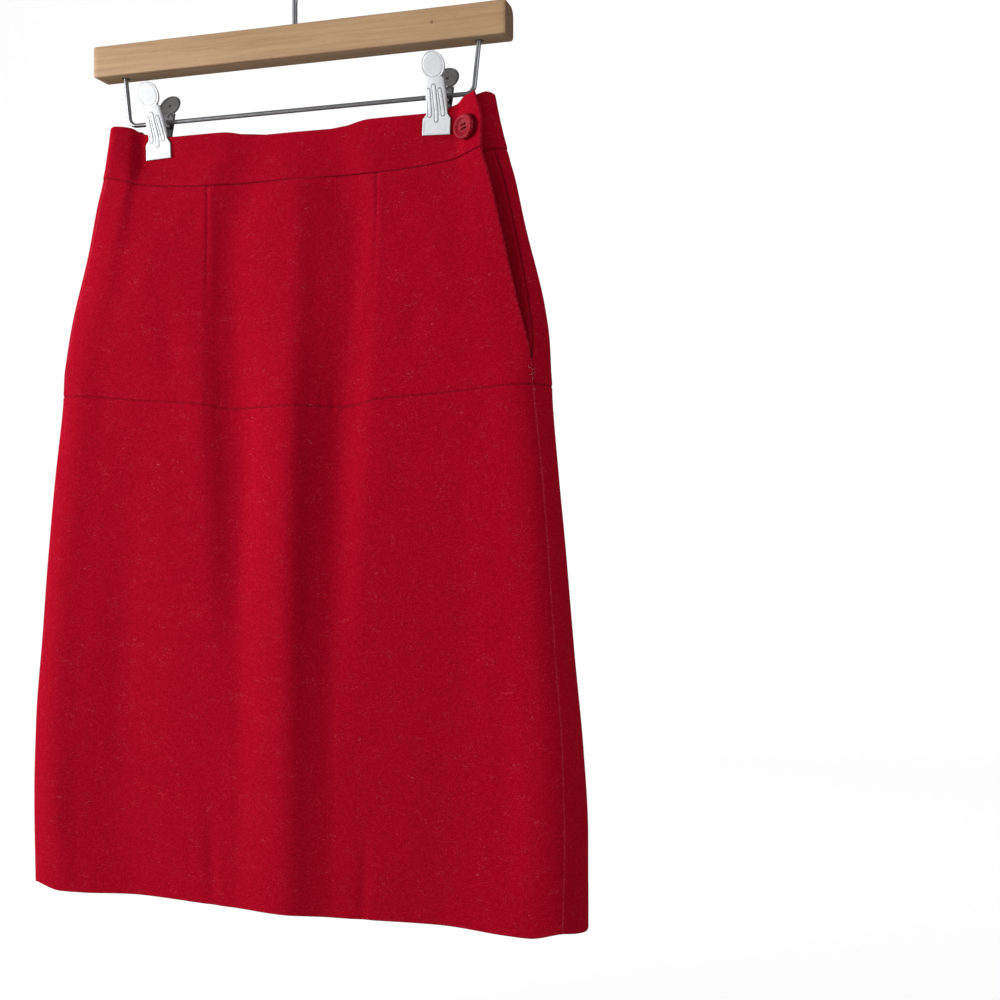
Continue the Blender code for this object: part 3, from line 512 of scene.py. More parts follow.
def turned(profile, segments):
    """Points and faces turned about Z from (radius, height) pairs, from the top to the bottom centre."""
    middle = [pair for pair in profile if pair[0] > 0]
    points = [(0, 0, profile[0][1])]
    for radius, height in middle:
        for turn in range(segments):
            angle = 2 * math.pi * turn / segments
            points.append((radius * math.cos(angle), radius * math.sin(angle), height))
    points.append((0, 0, profile[-1][1]))
    faces = []
    foot = 1 + (len(middle) - 1) * segments
    for turn in range(segments):
        onward = (turn + 1) % segments
        faces.append((0, 1 + turn, 1 + onward))
        faces.append((foot + turn, len(points) - 1, foot + onward))
        for ring in range(len(middle) - 1):
            a, b = 1 + ring * segments, 1 + (ring + 1) * segments
            faces.append((a + turn, b + turn, b + onward, a + onward))
    return np.array(points, float), faces


def cut_through(target, cutters):
    """Cuts hidden shapes out of an object and makes the result its own mesh."""
    for cutter in cutters:
        step = target.modifiers.new("cut", "BOOLEAN")
        step.operation, step.object, step.solver = "DIFFERENCE", cutter, "EXACT"
    target.data = settled_mesh(target)
    target.data.set_sharp_from_angle(angle=math.radians(SOLID_SHARP_DEGREES))
    for cutter in cutters:
        bpy.data.objects.remove(cutter)


def settled_mesh(target):
    """The smooth-shaded mesh that an object's modifiers make; the modifiers are removed."""
    graph = bpy.context.evaluated_depsgraph_get()
    mesh = bpy.data.meshes.new_from_object(target.evaluated_get(graph), depsgraph=graph)
    target.modifiers.clear()
    mesh.shade_smooth()
    return mesh


# Geometry Nodes -----------------------------------------------------------------------------------


class Tree:
    """A small help for building a node tree in order."""

    def __init__(self, tree):
        self.tree = tree

    def node(self, kind, settings=None, **inputs):
        made = self.tree.nodes.new(kind)
        for key, value in (settings or {}).items():
            setattr(made, key, value)
        for key, value in inputs.items():
            self.feed(made, key.replace("_", " "), value)
        return made

    def feed(self, node, key, value):
        socket = node.inputs[int(key) if key.isdigit() else key]
        if isinstance(value, bpy.types.NodeSocket):
            self.tree.links.new(value, socket)
        elif isinstance(value, bpy.types.Node):
            self.tree.links.new(value.outputs[0], socket)
        else:
            socket.default_value = value


def growing_tree(name, sizes):
    """A Geometry Nodes tree with a named input for each size, and its help and two ends."""
    tree = bpy.data.node_groups.new(name, "GeometryNodeTree")
    tree.interface.new_socket("Geometry", in_out="INPUT", socket_type="NodeSocketGeometry")
    tree.interface.new_socket("Geometry", in_out="OUTPUT", socket_type="NodeSocketGeometry")
    for label, value in sizes.items():
        kind = "NodeSocketInt" if isinstance(value, int) else "NodeSocketFloat"
        tree.interface.new_socket(label, in_out="INPUT", socket_type=kind).default_value = value
    helper = Tree(tree)
    return helper, helper.node("NodeGroupInput"), helper.node("NodeGroupOutput")


def grow(source, tree, sizes, name):
    """Runs a tree on an object with these sizes and returns the plain piece it makes; the source goes."""
    step = source.modifiers.new("grow", "NODES")
    step.node_group = tree
    for item in tree.interface.items_tree:
        if item.item_type == "SOCKET" and item.in_out == "INPUT" and item.name in sizes:
            step[item.identifier] = sizes[item.name]
    mesh = settled_mesh(source)
    bpy.data.objects.remove(source)
    mesh.name = name
    return new_object(name, mesh)


def line_object(name, lines):
    """An object of loose edges that run along each line of points (millimetres)."""
    points, edges = [], []
    for line in lines:
        start = len(points)
        points += [tuple(p) for p in np.asarray(line) * MM]
        edges += [(n, n + 1) for n in range(start, len(points) - 1)]
    mesh = bpy.data.meshes.new(name)
    mesh.from_pydata(points, edges, [])
    return new_object(name, mesh)


def stitch_tree(thread):
    """Short rounded stitches laid end to end along lines."""
    sizes = {"Stitch pitch": STITCH_PITCH * MM, "Stitch length": 2.1 * MM, "Thread width": 0.4 * MM}
    help_, start, end = growing_tree("stitches", sizes)
    line = help_.node("GeometryNodeMeshToCurve", Mesh=start.outputs["Geometry"])
    even = help_.node("GeometryNodeResampleCurve", Curve=line)
    even.mode = "LENGTH"
    help_.feed(even, "Length", start.outputs["Stitch pitch"])
    size = help_.node("ShaderNodeCombineXYZ", Z=start.outputs["Stitch length"])
    for key in ("X", "Y"):
        help_.feed(size, key, start.outputs["Thread width"])
    grain = help_.node("GeometryNodeMeshUVSphere", Segments=6, Rings=4, Radius=0.5)
    shaped = help_.node("GeometryNodeTransform", Geometry=grain)
    help_.feed(shaped, "Scale", size)
    tangent = help_.node("GeometryNodeInputTangent")
    turn = help_.node("FunctionNodeAlignRotationToVector", {"axis": "Z"}, Vector=tangent)
    laid = help_.node("GeometryNodeInstanceOnPoints", Points=even, Instance=shaped, Rotation=turn)
    real = help_.node("GeometryNodeRealizeInstances", Geometry=laid)
    done = help_.node("GeometryNodeSetMaterial", Geometry=real, Material=thread)
    help_.feed(end, "Geometry", done)
    return help_.tree


def coil_tree(steel):
    """A round wire wound into a coil along Z."""
    help_, start, end = growing_tree("spring_coil", SPRING_SIZES)
    helix = help_.node("GeometryNodeCurveSpiral", Resolution=20, Rotations=start.outputs["Turns"])
    for key in ("Start Radius", "End Radius"):
        help_.feed(helix, key, start.outputs["Coil radius"])
    help_.feed(helix, "Height", start.outputs["Coil length"])
    ring = help_.node("GeometryNodeCurvePrimitiveCircle", Resolution=8, Radius=start.outputs["Wire radius"])
    wound = help_.node("GeometryNodeCurveToMesh", Curve=helix, Profile_Curve=ring, Fill_Caps=True)
    real = help_.node("GeometryNodeRealizeInstances", Geometry=wound)
    done = help_.node("GeometryNodeSetMaterial", Geometry=real, Material=steel)
    help_.feed(end, "Geometry", done)
    return help_.tree


# Materials ----------------------------------------------------------------------------------------


def new_finish(name, **settings):
    """A material with its shader set from plain values, and a help for adding nodes."""
    made = bpy.data.materials.new(name)
    made.use_nodes = True
    helper = Tree(made.node_tree)
    shader = made.node_tree.nodes["Principled BSDF"]
    for key, value in settings.items():
        shader.inputs[key.replace("_", " ")].default_value = value
    return made, helper, shader


def mapped(helper, source, scale, shift=(0, 0, 0)):
    """Coordinates in units of the given scale."""
    return helper.node("ShaderNodeMapping", Vector=source, Scale=scale, Location=shift)


def noise(helper, vector, detail=3.0, roughness=0.55, distortion=0.0):
    made = helper.node("ShaderNodeTexNoise", Vector=vector, Scale=1.0, Detail=detail, Roughness=roughness)
    helper.feed(made, "Distortion", distortion)
    return made.outputs["Fac"]


def ramp(helper, value, stops):
    """A colour ramp from (place, colour) stops."""
    made = helper.node("ShaderNodeValToRGB", Fac=value)
    band = made.color_ramp
    while len(band.elements) < len(stops):
        band.elements.new(0.5)
    for element, (place, colour) in zip(band.elements, stops):
        element.position = place
        element.color = (*colour, 1) if len(colour) == 3 else (colour[0], colour[0], colour[0], 1)
    return made.outputs["Color"]


def between(helper, value, low, high, new_low=0.0, new_high=1.0):
    """Maps low..high to new_low..new_high, held at its ends."""
    made = helper.node("ShaderNodeMapRange", Value=value)
    for key, number in (("From Min", low), ("From Max", high), ("To Min", new_low), ("To Max", new_high)):
        helper.feed(made, key, number)
    return made.outputs["Result"]


def arithmetic(helper, operation, first, second):
    made = helper.node("ShaderNodeMath", {"operation": operation})
    helper.feed(made, "0", first)
    helper.feed(made, "1", second)
    return made.outputs[0]


def weighted(helper, first, first_share, second, second_share):
    """Two values added, each by its share."""
    first_part = arithmetic(helper, "MULTIPLY", first, first_share)
    return arithmetic(helper, "ADD", first_part, arithmetic(helper, "MULTIPLY", second, second_share))


def mixed(helper, amount, first, second, blend="MIX"):
    made = helper.node("ShaderNodeMix", {"data_type": "RGBA", "blend_type": blend})
    for socket, value in ((0, amount), (6, first), (7, second)):
        if isinstance(value, tuple):
            value = (*value, 1)
        helper.feed(made, str(socket), value)
    return made.outputs[2]


def bumped(helper, shader, height, depth, strength=1.0):
    """Bump of a real depth in metres."""
    made = helper.node("ShaderNodeBump", Height=height, Strength=strength, Distance=depth)
    helper.tree.links.new(made.outputs["Normal"], shader.inputs["Normal"])


def stored(helper, name):
    return helper.node("ShaderNodeAttribute", {"attribute_name": name}).outputs["Fac"]


def wool_finish(name, dark, middle, light):
    """Brushed wool: a felted nap with a fine grain, cloudy dye and a few pale stray hairs."""
    made, helper, shader = new_finish(
        name, Roughness=0.96, Specular_IOR_Level=0.03, Sheen_Weight=0.035, Sheen_Roughness=0.5,
        Sheen_Tint=(1.0, 0.06, 0.14, 1),
    )
    flat = helper.node("ShaderNodeUVMap", {"uv_map": "cloth"}).outputs["UV"]
    grain = noise(helper, mapped(helper, flat, (780, 1500, 1)), 3.0, 0.62)
    nap = noise(helper, mapped(helper, flat, (260, 420, 1), (5.3, 1.7, 0)), 3.0, 0.6, 0.6)
    clouds = noise(helper, mapped(helper, flat, (38, 52, 1), (2.1, 8.8, 0)), 3.0, 0.5)
    drift = noise(helper, mapped(helper, flat, (9, 7, 1), (4.2, 3.1, 0)), 2.0, 0.5)
    tone = weighted(helper, grain, 0.74, nap, 0.26)
    dyed = ramp(helper, tone, [(0.30, dark), (0.50, middle), (0.70, light)])
    soft = between(helper, clouds, 0.3, 0.7, 0.98, 1.02)
    wide = between(helper, drift, 0.3, 0.7, 0.985, 1.015)
    shade = helper.node("ShaderNodeCombineColor")
    for channel in ("Red", "Green", "Blue"):
        helper.feed(shade, channel, arithmetic(helper, "MULTIPLY", soft, wide))
    cloudy = mixed(helper, 1.0, dyed, shade.outputs[0], "MULTIPLY")
    hairs = noise(helper, mapped(helper, flat, (330, 900, 1), (9.1, 4.4, 0)), 1.0, 0.5, 2.2)
    patches = noise(helper, mapped(helper, flat, (60, 75, 1), (1.1, 6.4, 0)), 1.0)
    where_hairy = between(helper, patches, 0.50, 0.62, 0.0, 0.36)
    stray = arithmetic(helper, "MULTIPLY", between(helper, hairs, 0.66, 0.72), where_hairy)
    haired = mixed(helper, stray, cloudy, (0.62, 0.10, 0.14))
    # Painted highlight: a stored value lightens the cloth to pale pink along the side seams and rolled edges,
    # patchy with the nap.
    patchy = between(helper, nap, 0.40, 0.62, 0.12, 0.62)
    painted_edge_highlight = arithmetic(helper, "MULTIPLY", stored(helper, "painted_edge_highlight"), patchy)
    highlit = mixed(helper, painted_edge_highlight, haired, (0.55, 0.040, 0.075))
    # Painted shade: a stored value darkens the cloth to near-black red in the grooves of the plain seams.
    painted_seam_shade = arithmetic(helper, "MULTIPLY", stored(helper, "painted_seam_shade"), 0.55)
    helper.tree.links.new(mixed(helper, painted_seam_shade, highlit, (0.11, 0.001, 0.005)), shader.inputs["Base Color"])
    bumped(helper, shader, weighted(helper, grain, 0.6, nap, 0.4), 0.00032, 0.8)
    return made


def thread_finish(name, dark, light):
    """Sewing thread with its twist."""
    made, helper, shader = new_finish(name, Roughness=0.7, Specular_IOR_Level=0.15)
    place = helper.node("ShaderNodeTexCoord").outputs["Object"]
    twist = mapped(helper, place, (1500, 900, 1500))
    ply = helper.node("ShaderNodeTexWave", Vector=twist, Scale=1.0, Distortion=1.5)
    colour = ramp(helper, ply.outputs["Fac"], [(0.0, dark), (1.0, light)])
    helper.tree.links.new(colour, shader.inputs["Base Color"])
    bumped(helper, shader, ply.outputs["Fac"], 0.0001)
    return made


def button_finish():
    """Softly shining red resin with small pale specks in it, which also serve as painted glints."""
    made, helper, shader = new_finish("button_resin", Roughness=0.50, Specular_IOR_Level=0.08)
    place = helper.node("ShaderNodeTexCoord").outputs["Object"]
    swirl = noise(helper, mapped(helper, place, (260, 260, 260)), 4.0, 0.6, 1.4)
    flecks_and_glints = noise(helper, mapped(helper, place, (1150, 1150, 1150), (3.3, 0.4, 5.1)), 1.0, 0.5, 0.4)
    reds = [(0.32, (0.18, 0.001, 0.007)), (0.5, (0.28, 0.002, 0.012)), (0.70, (0.38, 0.008, 0.024))]
    base = ramp(helper, swirl, reds)
    # Pale specks: partly the resin's own speckle, partly painted glints.
    glint_flecked = mixed(helper, between(helper, flecks_and_glints, 0.64, 0.72, 0.0, 0.30), base, (0.74, 0.24, 0.26))
    helper.tree.links.new(glint_flecked, shader.inputs["Base Color"])
    bumped(helper, shader, swirl, 0.00008)
    return made


def near(helper, place, spot, full, none):
    """1 within the full distance of a spot and 0 beyond the other, in millimetres."""
    made = helper.node("ShaderNodeVectorMath", {"operation": "DISTANCE"})
    helper.feed(made, "0", place)
    made.inputs[1].default_value = [size * MM for size in spot]
    return between(helper, made.outputs["Value"], full * MM, none * MM, 1.0, 0.0)


def wood_finish():
    """Pale, lightly lacquered wood: grain along the bar, small dark pores, darker ends and bored rims."""
    lacquer = {"Specular_IOR_Level": 0.4, "Coat_Weight": 0.08, "Coat_Roughness": 0.3}
    made, helper, shader = new_finish("pale_wood", **lacquer)
    place = helper.node("ShaderNodeTexCoord").outputs["Object"]
    warp = noise(helper, mapped(helper, place, (7, 30, 30)), 2.0)
    bend = helper.node("ShaderNodeVectorMath", {"operation": "MULTIPLY_ADD"})
    helper.feed(bend, "0", helper.node("ShaderNodeCombineXYZ", Y=warp, Z=warp).outputs[0])
    bend.inputs[1].default_value = (0, 0.009, 0.009)
    helper.feed(bend, "2", place)
    bent = bend.outputs[0]
    rings = noise(helper, mapped(helper, bent, (5, 260, 300)), 3.0, 0.55)
    fibres = noise(helper, mapped(helper, bent, (45, 1500, 1700)), 4.0, 0.65)
    pores = noise(helper, mapped(helper, bent, (170, 2100, 2300), (2, 5, 1)), 1.0, 0.5)
    figure = noise(helper, mapped(helper, place, (16, 60, 60), (8, 1, 3)), 3.0)
    browns = [(0.30, (0.335, 0.178, 0.074)), (0.48, (0.425, 0.245, 0.110)), (0.70, (0.495, 0.305, 0.150))]
    plain = ramp(helper, rings, browns)
    streaked = mixed(helper, between(helper, fibres, 0.35, 0.75, 0.0, 0.42), plain, (0.25, 0.125, 0.055))
    cloudy = mixed(helper, between(helper, figure, 0.45, 0.75, 0.0, 0.35), streaked, (0.50, 0.33, 0.19))
    pored = mixed(helper, between(helper, pores, 0.68, 0.76, 0.0, 0.6), cloudy, (0.13, 0.065, 0.03))
    at_edge = arithmetic(helper, "MULTIPLY", stored(helper, "edge"), 0.35)
    edged = mixed(helper, at_edge, pored, (0.56, 0.40, 0.26))
    knotted = mixed(helper, near(helper, place, KNOT, 0.8, 1.6), edged, (0.20, 0.095, 0.04))
    both = helper.node("ShaderNodeVectorMath", {"operation": "ABSOLUTE"})
    helper.feed(both, "0", place)
    mirrored = both.outputs[0]
    leg = near(helper, mirrored, (WIRE_HALF_TOP, 0, -BAR_BOTTOM), WIRE_RADIUS + 1.0, WIRE_RADIUS + 2.2)
    hook = near(helper, mirrored, (0, 0, -BAR_TOP), HOOK_RADIUS + 1.0, HOOK_RADIUS + 2.2)
    rim = mixed(helper, arithmetic(helper, "MAXIMUM", leg, hook), knotted, (0.05, 0.028, 0.016))
    across = noise(helper, mapped(helper, place, (1, 900, 900), (7, 3, 3)), 3.0)
    grained = ramp(helper, across, [(0.3, (0.15, 0.078, 0.036)), (0.7, (0.24, 0.135, 0.066))])
    length = helper.node("ShaderNodeSeparateXYZ", Vector=mirrored).outputs["X"]
    at_end = between(helper, length, (BAR_HALF_LENGTH - 0.9) * MM, (BAR_HALF_LENGTH - 0.3) * MM)
    ended = mixed(helper, at_end, rim, grained)
    helper.tree.links.new(ended, shader.inputs["Base Color"])
    helper.tree.links.new(between(helper, fibres, 0.3, 0.7, 0.42, 0.56), shader.inputs["Roughness"])
    relief = arithmetic(helper, "ADD", fibres, arithmetic(helper, "MULTIPLY", rings, 0.7))
    bumped(helper, shader, relief, 0.00012)
    return made


def metal_finish(name, dark, light, roughness, grain, metallic=1.0, dent=0.00004):
    """Plated steel: fine uneven polish, with painted shade where the stored groove value is high."""
    made, helper, shader = new_finish(name, Metallic=metallic, Specular_IOR_Level=0.5)
    place = helper.node("ShaderNodeTexCoord").outputs["Object"]
    fine = noise(helper, mapped(helper, place, grain), 3.0, 0.6)
    coarse = noise(helper, mapped(helper, place, tuple(size / 5 for size in grain), (4, 1, 2)), 2.0)
    colour = ramp(helper, fine, [(0.30, dark), (0.68, light)])
    # Painted shade: darkens towards near black where the stored groove value is high.
    groove_shaded = mixed(helper, stored(helper, "groove"), colour, (0.045, 0.047, 0.05))
    helper.tree.links.new(groove_shaded, shader.inputs["Base Color"])
    low, high = roughness
    helper.tree.links.new(between(helper, coarse, 0.3, 0.7, low, high), shader.inputs["Roughness"])
    bumped(helper, shader, fine, dent)
    return made


WOOL = wool_finish("red_wool", (0.225, 0.0003, 0.0058), (0.335, 0.0005, 0.0106), (0.465, 0.0085, 0.0330))
THREAD = thread_finish("red_thread", (0.16, 0.001, 0.006), (0.40, 0.008, 0.024))
PALE_THREAD = thread_finish("pale_thread", (0.42, 0.09, 0.12), (0.60, 0.20, 0.24))
RESIN = button_finish()
WOOD = wood_finish()
FINE, FINEST = (900, 900, 900), (1100, 1100, 1100)  # grain of the metals, in marks to the metre
ROD = metal_finish("bright_rod", (0.24, 0.245, 0.255), (0.31, 0.315, 0.33), (0.34, 0.42), FINE, dent=0.000008)
PLATE = metal_finish("plated_sheet", (0.72, 0.74, 0.77), (0.82, 0.835, 0.86), (0.45, 0.60), FINEST, 0.35)
# Painted shade: the rear plates' plating, as a much darker copy of the front plates' finish.
PLATE_IN_SHADE = metal_finish("plated_sheet_in_shade", (0.20, 0.20, 0.205), (0.33, 0.33, 0.34), (0.40, 0.55), FINE, 0.70)
SPRING = metal_finish("spring_wire", (0.16, 0.16, 0.17), (0.32, 0.32, 0.34), (0.30, 0.44), FINE)


# The cloth ----------------------------------------------------------------------------------------


def bump(distance, width):
    """1 at no distance, falling softly to 0."""
    return np.exp(-((distance / width) ** 2))


def step_down(distance, place, width):
    """1 before the place and 0 after it."""
    t = np.clip((distance - place) / width + 0.5, 0, 1)
    return 1 - t * t * (3 - 2 * t)


def rolled(distance, thickness):
    """How far each face of a folded edge turns in towards its middle."""
    radius = thickness / 2
    gap = np.clip(radius - distance, 0, radius)
    return np.minimum(radius - np.sqrt(radius**2 - gap**2), radius - 0.06)


def seam_dip(distance):
    """A seam's groove, with the cloth a little full on each side of it."""
    return -0.42 * bump(distance, 0.8) + 0.10 * bump(distance - 2.8, 1.5)


def creased(x, z, creases):
    shape = np.zeros_like(x)
    for crease in creases:
        lean = math.radians(crease.lean)
        across = (x - crease.x) * math.cos(lean) - (z - crease.z) * math.sin(lean)
        run = (x - crease.x) * math.sin(lean) + (z - crease.z) * math.cos(lean)
        window = np.cos(np.clip(np.abs(run) / crease.length, 0, 1) * math.pi / 2) ** 2
        shape -= crease.depth * window * bump(across, crease.width)
    return shape


def unevenness(x, z, side):
    """The slight waviness of heavy cloth."""
    fine = np.sin(x / 13.1 + 1.7 * np.sin(z / 47.0 + side)) * np.sin(z / 29.3 + 1.1 * np.sin(x / 37.0))
    wide = np.sin(x / 31.7 + z / 83.0 + 2 * side) * np.cos(z / 61.0 - x / 97.0)
    return 0.07 * fine + 0.20 * wide


def puckers(x, distance, reach):
    """Small gathers at the yoke seam, most of them near the middle of the front."""
    strength = 0.06 + 0.40 * bump(x - 34, 22) + 0.22 * bump(x + 40, 26)
    return strength * np.sin(0.74 * x + 1.6 * np.sin(x / 19.0)) * bump(distance, reach)


def spaced(length, pitch, lines=()):
    """Distances from 0 to length: close together at both ends and at the lines, and even between."""
    places = EDGE_MARKS + [length - mark for mark in EDGE_MARKS]
    places += list(np.arange(EDGE_MARKS[-1] + pitch, length - EDGE_MARKS[-1], pitch))
    for line in lines:
        places += [line + mark for mark in LINE_MARKS] + [line - mark for mark in LINE_MARKS]
    kept = [0.0]
    for place in sorted(places):
        if min(place - kept[-1], length - place) > CLOSEST_LINES:
            kept.append(place)
    return np.array(kept + [length])


def run_along(first, last, height):
    """Finely spaced station numbers and their distances along the strip."""
    fine = np.linspace(first, last, FINE_STEPS)
    line = strip_track(height)(fine)
    return fine, np.concatenate([[0], np.cumsum(np.linalg.norm(np.diff(line, axis=0), axis=1))])


def stations_between(first, last, height, pitch, lines=()):
    fine, run = run_along(first, last, height)
    places = spaced(run[-1], pitch, [float(np.interp(line, fine, run)) for line in lines])
    return np.interp(places, run, fine)


def opened_at(heights, foot, full):
    """How far the placket is open at each height, from 0 at the foot to 1."""
    return np.array([ease(height, foot, full) for height in heights])[:, None]


class Panel:
    """A grid over a stretch of the strip, from its low edge up, with each point's distance from each edge."""

    def __init__(self, stations, heights):
        self.stations, self.heights = np.asarray(stations), np.asarray(heights)
        self.points, self.normals, _, _ = cloth_grid(stations, heights)
        along = np.linalg.norm(np.diff(self.points, axis=1), axis=2)
        rise = np.linalg.norm(np.diff(self.points, axis=0), axis=2)
        start = np.hstack([np.zeros((len(heights), 1)), np.cumsum(along, axis=1)])
        low = np.vstack([np.zeros((1, len(stations))), np.cumsum(rise, axis=0)])
        self.run = {"start": start, "end": start[:, -1:] - start, "low": low, "top": low[-1:] - low}
        self.x, self.z = self.points[..., 0], self.points[..., 2]

    def from_station(self, station):
        """Distance of each point from a station's line."""
        column = int(np.argmin(np.abs(self.stations - station)))
        return np.abs(self.run["start"] - self.run["start"][:, column : column + 1])

    def darts(self, top, foot):
        """The soft grooves of two darts that run down from the waist, at these distances from the middle."""
        line = np.interp(self.z, (DART_FOOT, WAIST), (foot, top))
        distance = np.abs(np.abs(self.x) - line)
        fade = np.clip((self.heights[:, None] - DART_FOOT) / 90, 0, 1) ** 0.7
        return fade * (-0.42 * bump(distance, 1.3) + 0.20 * bump(distance - 4.5, 3.4))


def cloth_piece(name, panel, shape, seams=(), folds=(), slit=False, highlit=(), **wall):
    """One cut piece as a closed wall: grooved at its seams, rolled at its folded edges, thicker where it's
    turned in. The seams it is told to highlight get a pale painted highlight along their edges instead of a
    groove."""
    proud, thickness = wall.get("proud", 0.0), wall.get("thickness", CLOTH)
    turning = wall.get("turned", TURNED)
    opened = opened_at(panel.heights, SLIT_FOOT - 2, SLIT_FOOT + 6)
    joins = {edge: 1.0 for edge in seams}
    rolls = {edge: 1.0 for edge in folds}
    if slit:
        joins["end"], rolls["end"] = 1 - opened, opened
    pressed, imprint = np.zeros_like(panel.x), np.zeros_like(panel.x)
    painted_edge_highlight, deep = np.zeros_like(panel.x), np.zeros_like(panel.x)
    for edge, weight in list(joins.items()) + list(rolls.items()):
        width = HEM_DEPTH if edge == "low" and edge in folds else SEAM_ALLOWANCE
        distance = panel.run[edge]
        pressed = np.maximum(pressed, weight * step_down(distance, width, 1.2))
        imprint = np.maximum(imprint, weight * step_down(distance, width - 3, 7))
    for edge, weight in joins.items():
        if edge in highlit:
            # Painted highlight along this seam's edges, where light catches them.
            painted_edge_highlight = painted_edge_highlight + weight * bump(panel.run[edge], 0.55)
        else:
            shape = shape + weight * seam_dip(panel.run[edge])
            # Painted shade in this seam's groove.
            deep = deep + weight * 0.8 * bump(panel.run[edge], 0.6)
    full = thickness + turning * pressed
    outer = proud + shape + wall.get("imprint", 0.12) * imprint
    inner = proud + shape - full
    for edge, weight in rolls.items():
        roll = weight * rolled(panel.run[edge], full)
        outer, inner = outer - roll, inner + roll
        # A weaker painted highlight along each rolled edge.
        painted_edge_highlight = painted_edge_highlight + weight * 0.3 * bump(panel.run[edge] - 0.5, 0.9)
    flat = np.stack([panel.run["start"], panel.run["low"]], axis=2) + len(name) * 37.0
    values = {"painted_edge_highlight": np.clip(painted_edge_highlight, 0, 1), "painted_seam_shade": np.clip(deep, 0, 1)}
    face = panel.points + outer[..., None] * panel.normals
    back = panel.points + inner[..., None] * panel.normals
    return shell_object(name, face, back, WOOL, flat, values), face


def side_relief(panel, creases, side):
    return creased(panel.x, panel.z, creases) + unevenness(panel.x, panel.z, side)


def make_skirt():
    """The six pieces of the skirt, and the lines of their seams."""
    front_darts = STATIONS.index(("ridge", -1)) - 0.1, STATIONS.index(("ridge", 1)) + 0.1
    back_darts = STATIONS.index(("back_ridge", 1)), STATIONS.index(("back_ridge", -1))
    front = stations_between(RIGHT_SEAM, FRONT_EDGE, YOKE, FRONT_PITCH, front_darts)
    back = stations_between(BACK_EDGE, RIGHT_SEAM, YOKE, BACK_PITCH, back_darts)
    lap = stations_between(LAP_END, BACK_EDGE, LAP_LINE, LAP_PITCH)
    band = stations_between(LAP_END, FRONT_EDGE, BAND_LINE, BAND_PITCH)
    skirt_heights = HEM + spaced(YOKE - HEM, SKIRT_ROW, (HEM_DEPTH,))
    yoke_heights = YOKE + spaced(WAIST - YOKE, YOKE_ROW, (SLIT_FOOT - YOKE,))
    lap_heights = UNDERLAY_REACH + spaced(WAIST - UNDERLAY_REACH, LAP_ROW)
    band_heights = WAIST + spaced(TOP - WAIST, BAND_ROW)
    made, lines = {}, []

    sides = ("start", "end")
    panel = Panel(front, skirt_heights)
    shape = side_relief(panel, FRONT_CREASES, 0.0) + puckers(panel.x, panel.run["top"], 5.0)
    made["front_skirt"], face = cloth_piece(
        "front_panel", panel, shape, (*sides, "top"), ("low",), highlit=sides
    )
    lines += [face[-1]]

    panel = Panel(front, yoke_heights)
    shape = side_relief(panel, FRONT_CREASES, 0.0) + puckers(panel.x, panel.run["low"], 9.0)
    shape += panel.darts(*FRONT_DART)
    made["front_yoke"], face = cloth_piece(
        "front_hip_yoke", panel, shape, ("start", "low", "top"), slit=True, highlit=sides, imprint=YOKE_IMPRINT
    )
    lines += [face[-1]]

    panel = Panel(back, skirt_heights)
    shape = side_relief(panel, BACK_CREASES, 1.7)
    made["back_skirt"], face = cloth_piece("back_panel", panel, shape, (*sides, "top"), ("low",), highlit=sides)
    lines += [face[-1]]

    panel = Panel(back, yoke_heights)
    shape = side_relief(panel, BACK_CREASES, 1.7) + panel.darts(*BACK_DART)
    made["back_yoke"], face = cloth_piece(
        "back_hip_yoke", panel, shape, (*sides, "low", "top"), highlit=("end",), imprint=YOKE_IMPRINT
    )
    lines += [face[-1]]

    panel = Panel(lap, lap_heights)
    opened = opened_at(panel.heights, SLIT_FOOT, SLIT_OPEN)
    shape = unevenness(panel.x, panel.z, 3.1) - UNDERLAY_DEEPER * (1 - opened)
    made["placket_underlay"], _ = cloth_piece(
        "placket_underlay_cloth", panel, shape, ("end", "top"), ("start", "low")
    )

    panel = Panel(band, band_heights)
    button_near = np.hypot(panel.from_station(BUTTON_STATION), panel.heights[:, None] - BUTTON_HEIGHT)
    shape = 0.6 * unevenness(panel.x, panel.z, 0.6) - 0.5 * bump(button_near, 7.0)
    made["waistband"], _ = cloth_piece(
        "waistband_cloth", panel, shape, ("low",), ("start", "end", "top"),
        proud=BAND_PROUD, thickness=BAND_THICKNESS, turned=0.0,
    )
    return made, lines


def make_tack():
    """The frayed ends of the tack at the foot of the placket."""
    strands = []
    for loose in TACK_ENDS:
        foot, outward, along, up = (part[0, 0] for part in cloth_grid([FRONT_EDGE - 0.01], [loose.height]))
        lean = math.radians(loose.lean)
        reach = loose.length * (math.cos(lean) * along + math.sin(lean) * up)
        curl = 0.18 * np.cross(outward, reach)
        line = [foot - 0.2 * outward, foot + 0.35 * reach + 0.7 * outward + curl]
        line += [foot + 0.75 * reach + 0.5 * outward + curl, foot + reach + 0.25 * outward]
        strands.append(tube(smooth_line(line, 5), 0.11, 6))
    return solid_object("placket_tack", strands, PALE_THREAD, 60)


def make_stitches(lines):
    """The seams' thread, deep in their grooves."""
    source = line_object("seam_lines", lines)
    return grow(source, stitch_tree(THREAD), {"Stitch pitch": STITCH_PITCH * MM}, "seam_stitches")


# The button ---------------------------------------------------------------------------------------


def button_place():
    """Where the button's middle lies, as a matrix in millimetres whose Z points away from the cloth."""
    points, normals, along, _ = cloth_grid([BUTTON_STATION], [BUTTON_HEIGHT])
    outward, across = Vector(normals[0, 0]), Vector(along[0, 0])
    upward = outward.cross(across)
    stand = BAND_PROUD + BUTTON_STANDOFF + BUTTON_THICKNESS / 2
    turn = Matrix((across, upward, outward)).transposed().to_4x4()
    return Matrix.Translation(Vector(points[0, 0]) + stand * outward) @ turn


def placed(place, points):
    """Points moved by a matrix in millimetres."""
    matrix = np.array(place)
    return np.asarray(points, float) @ matrix[:3, :3].T + matrix[:3, 3]


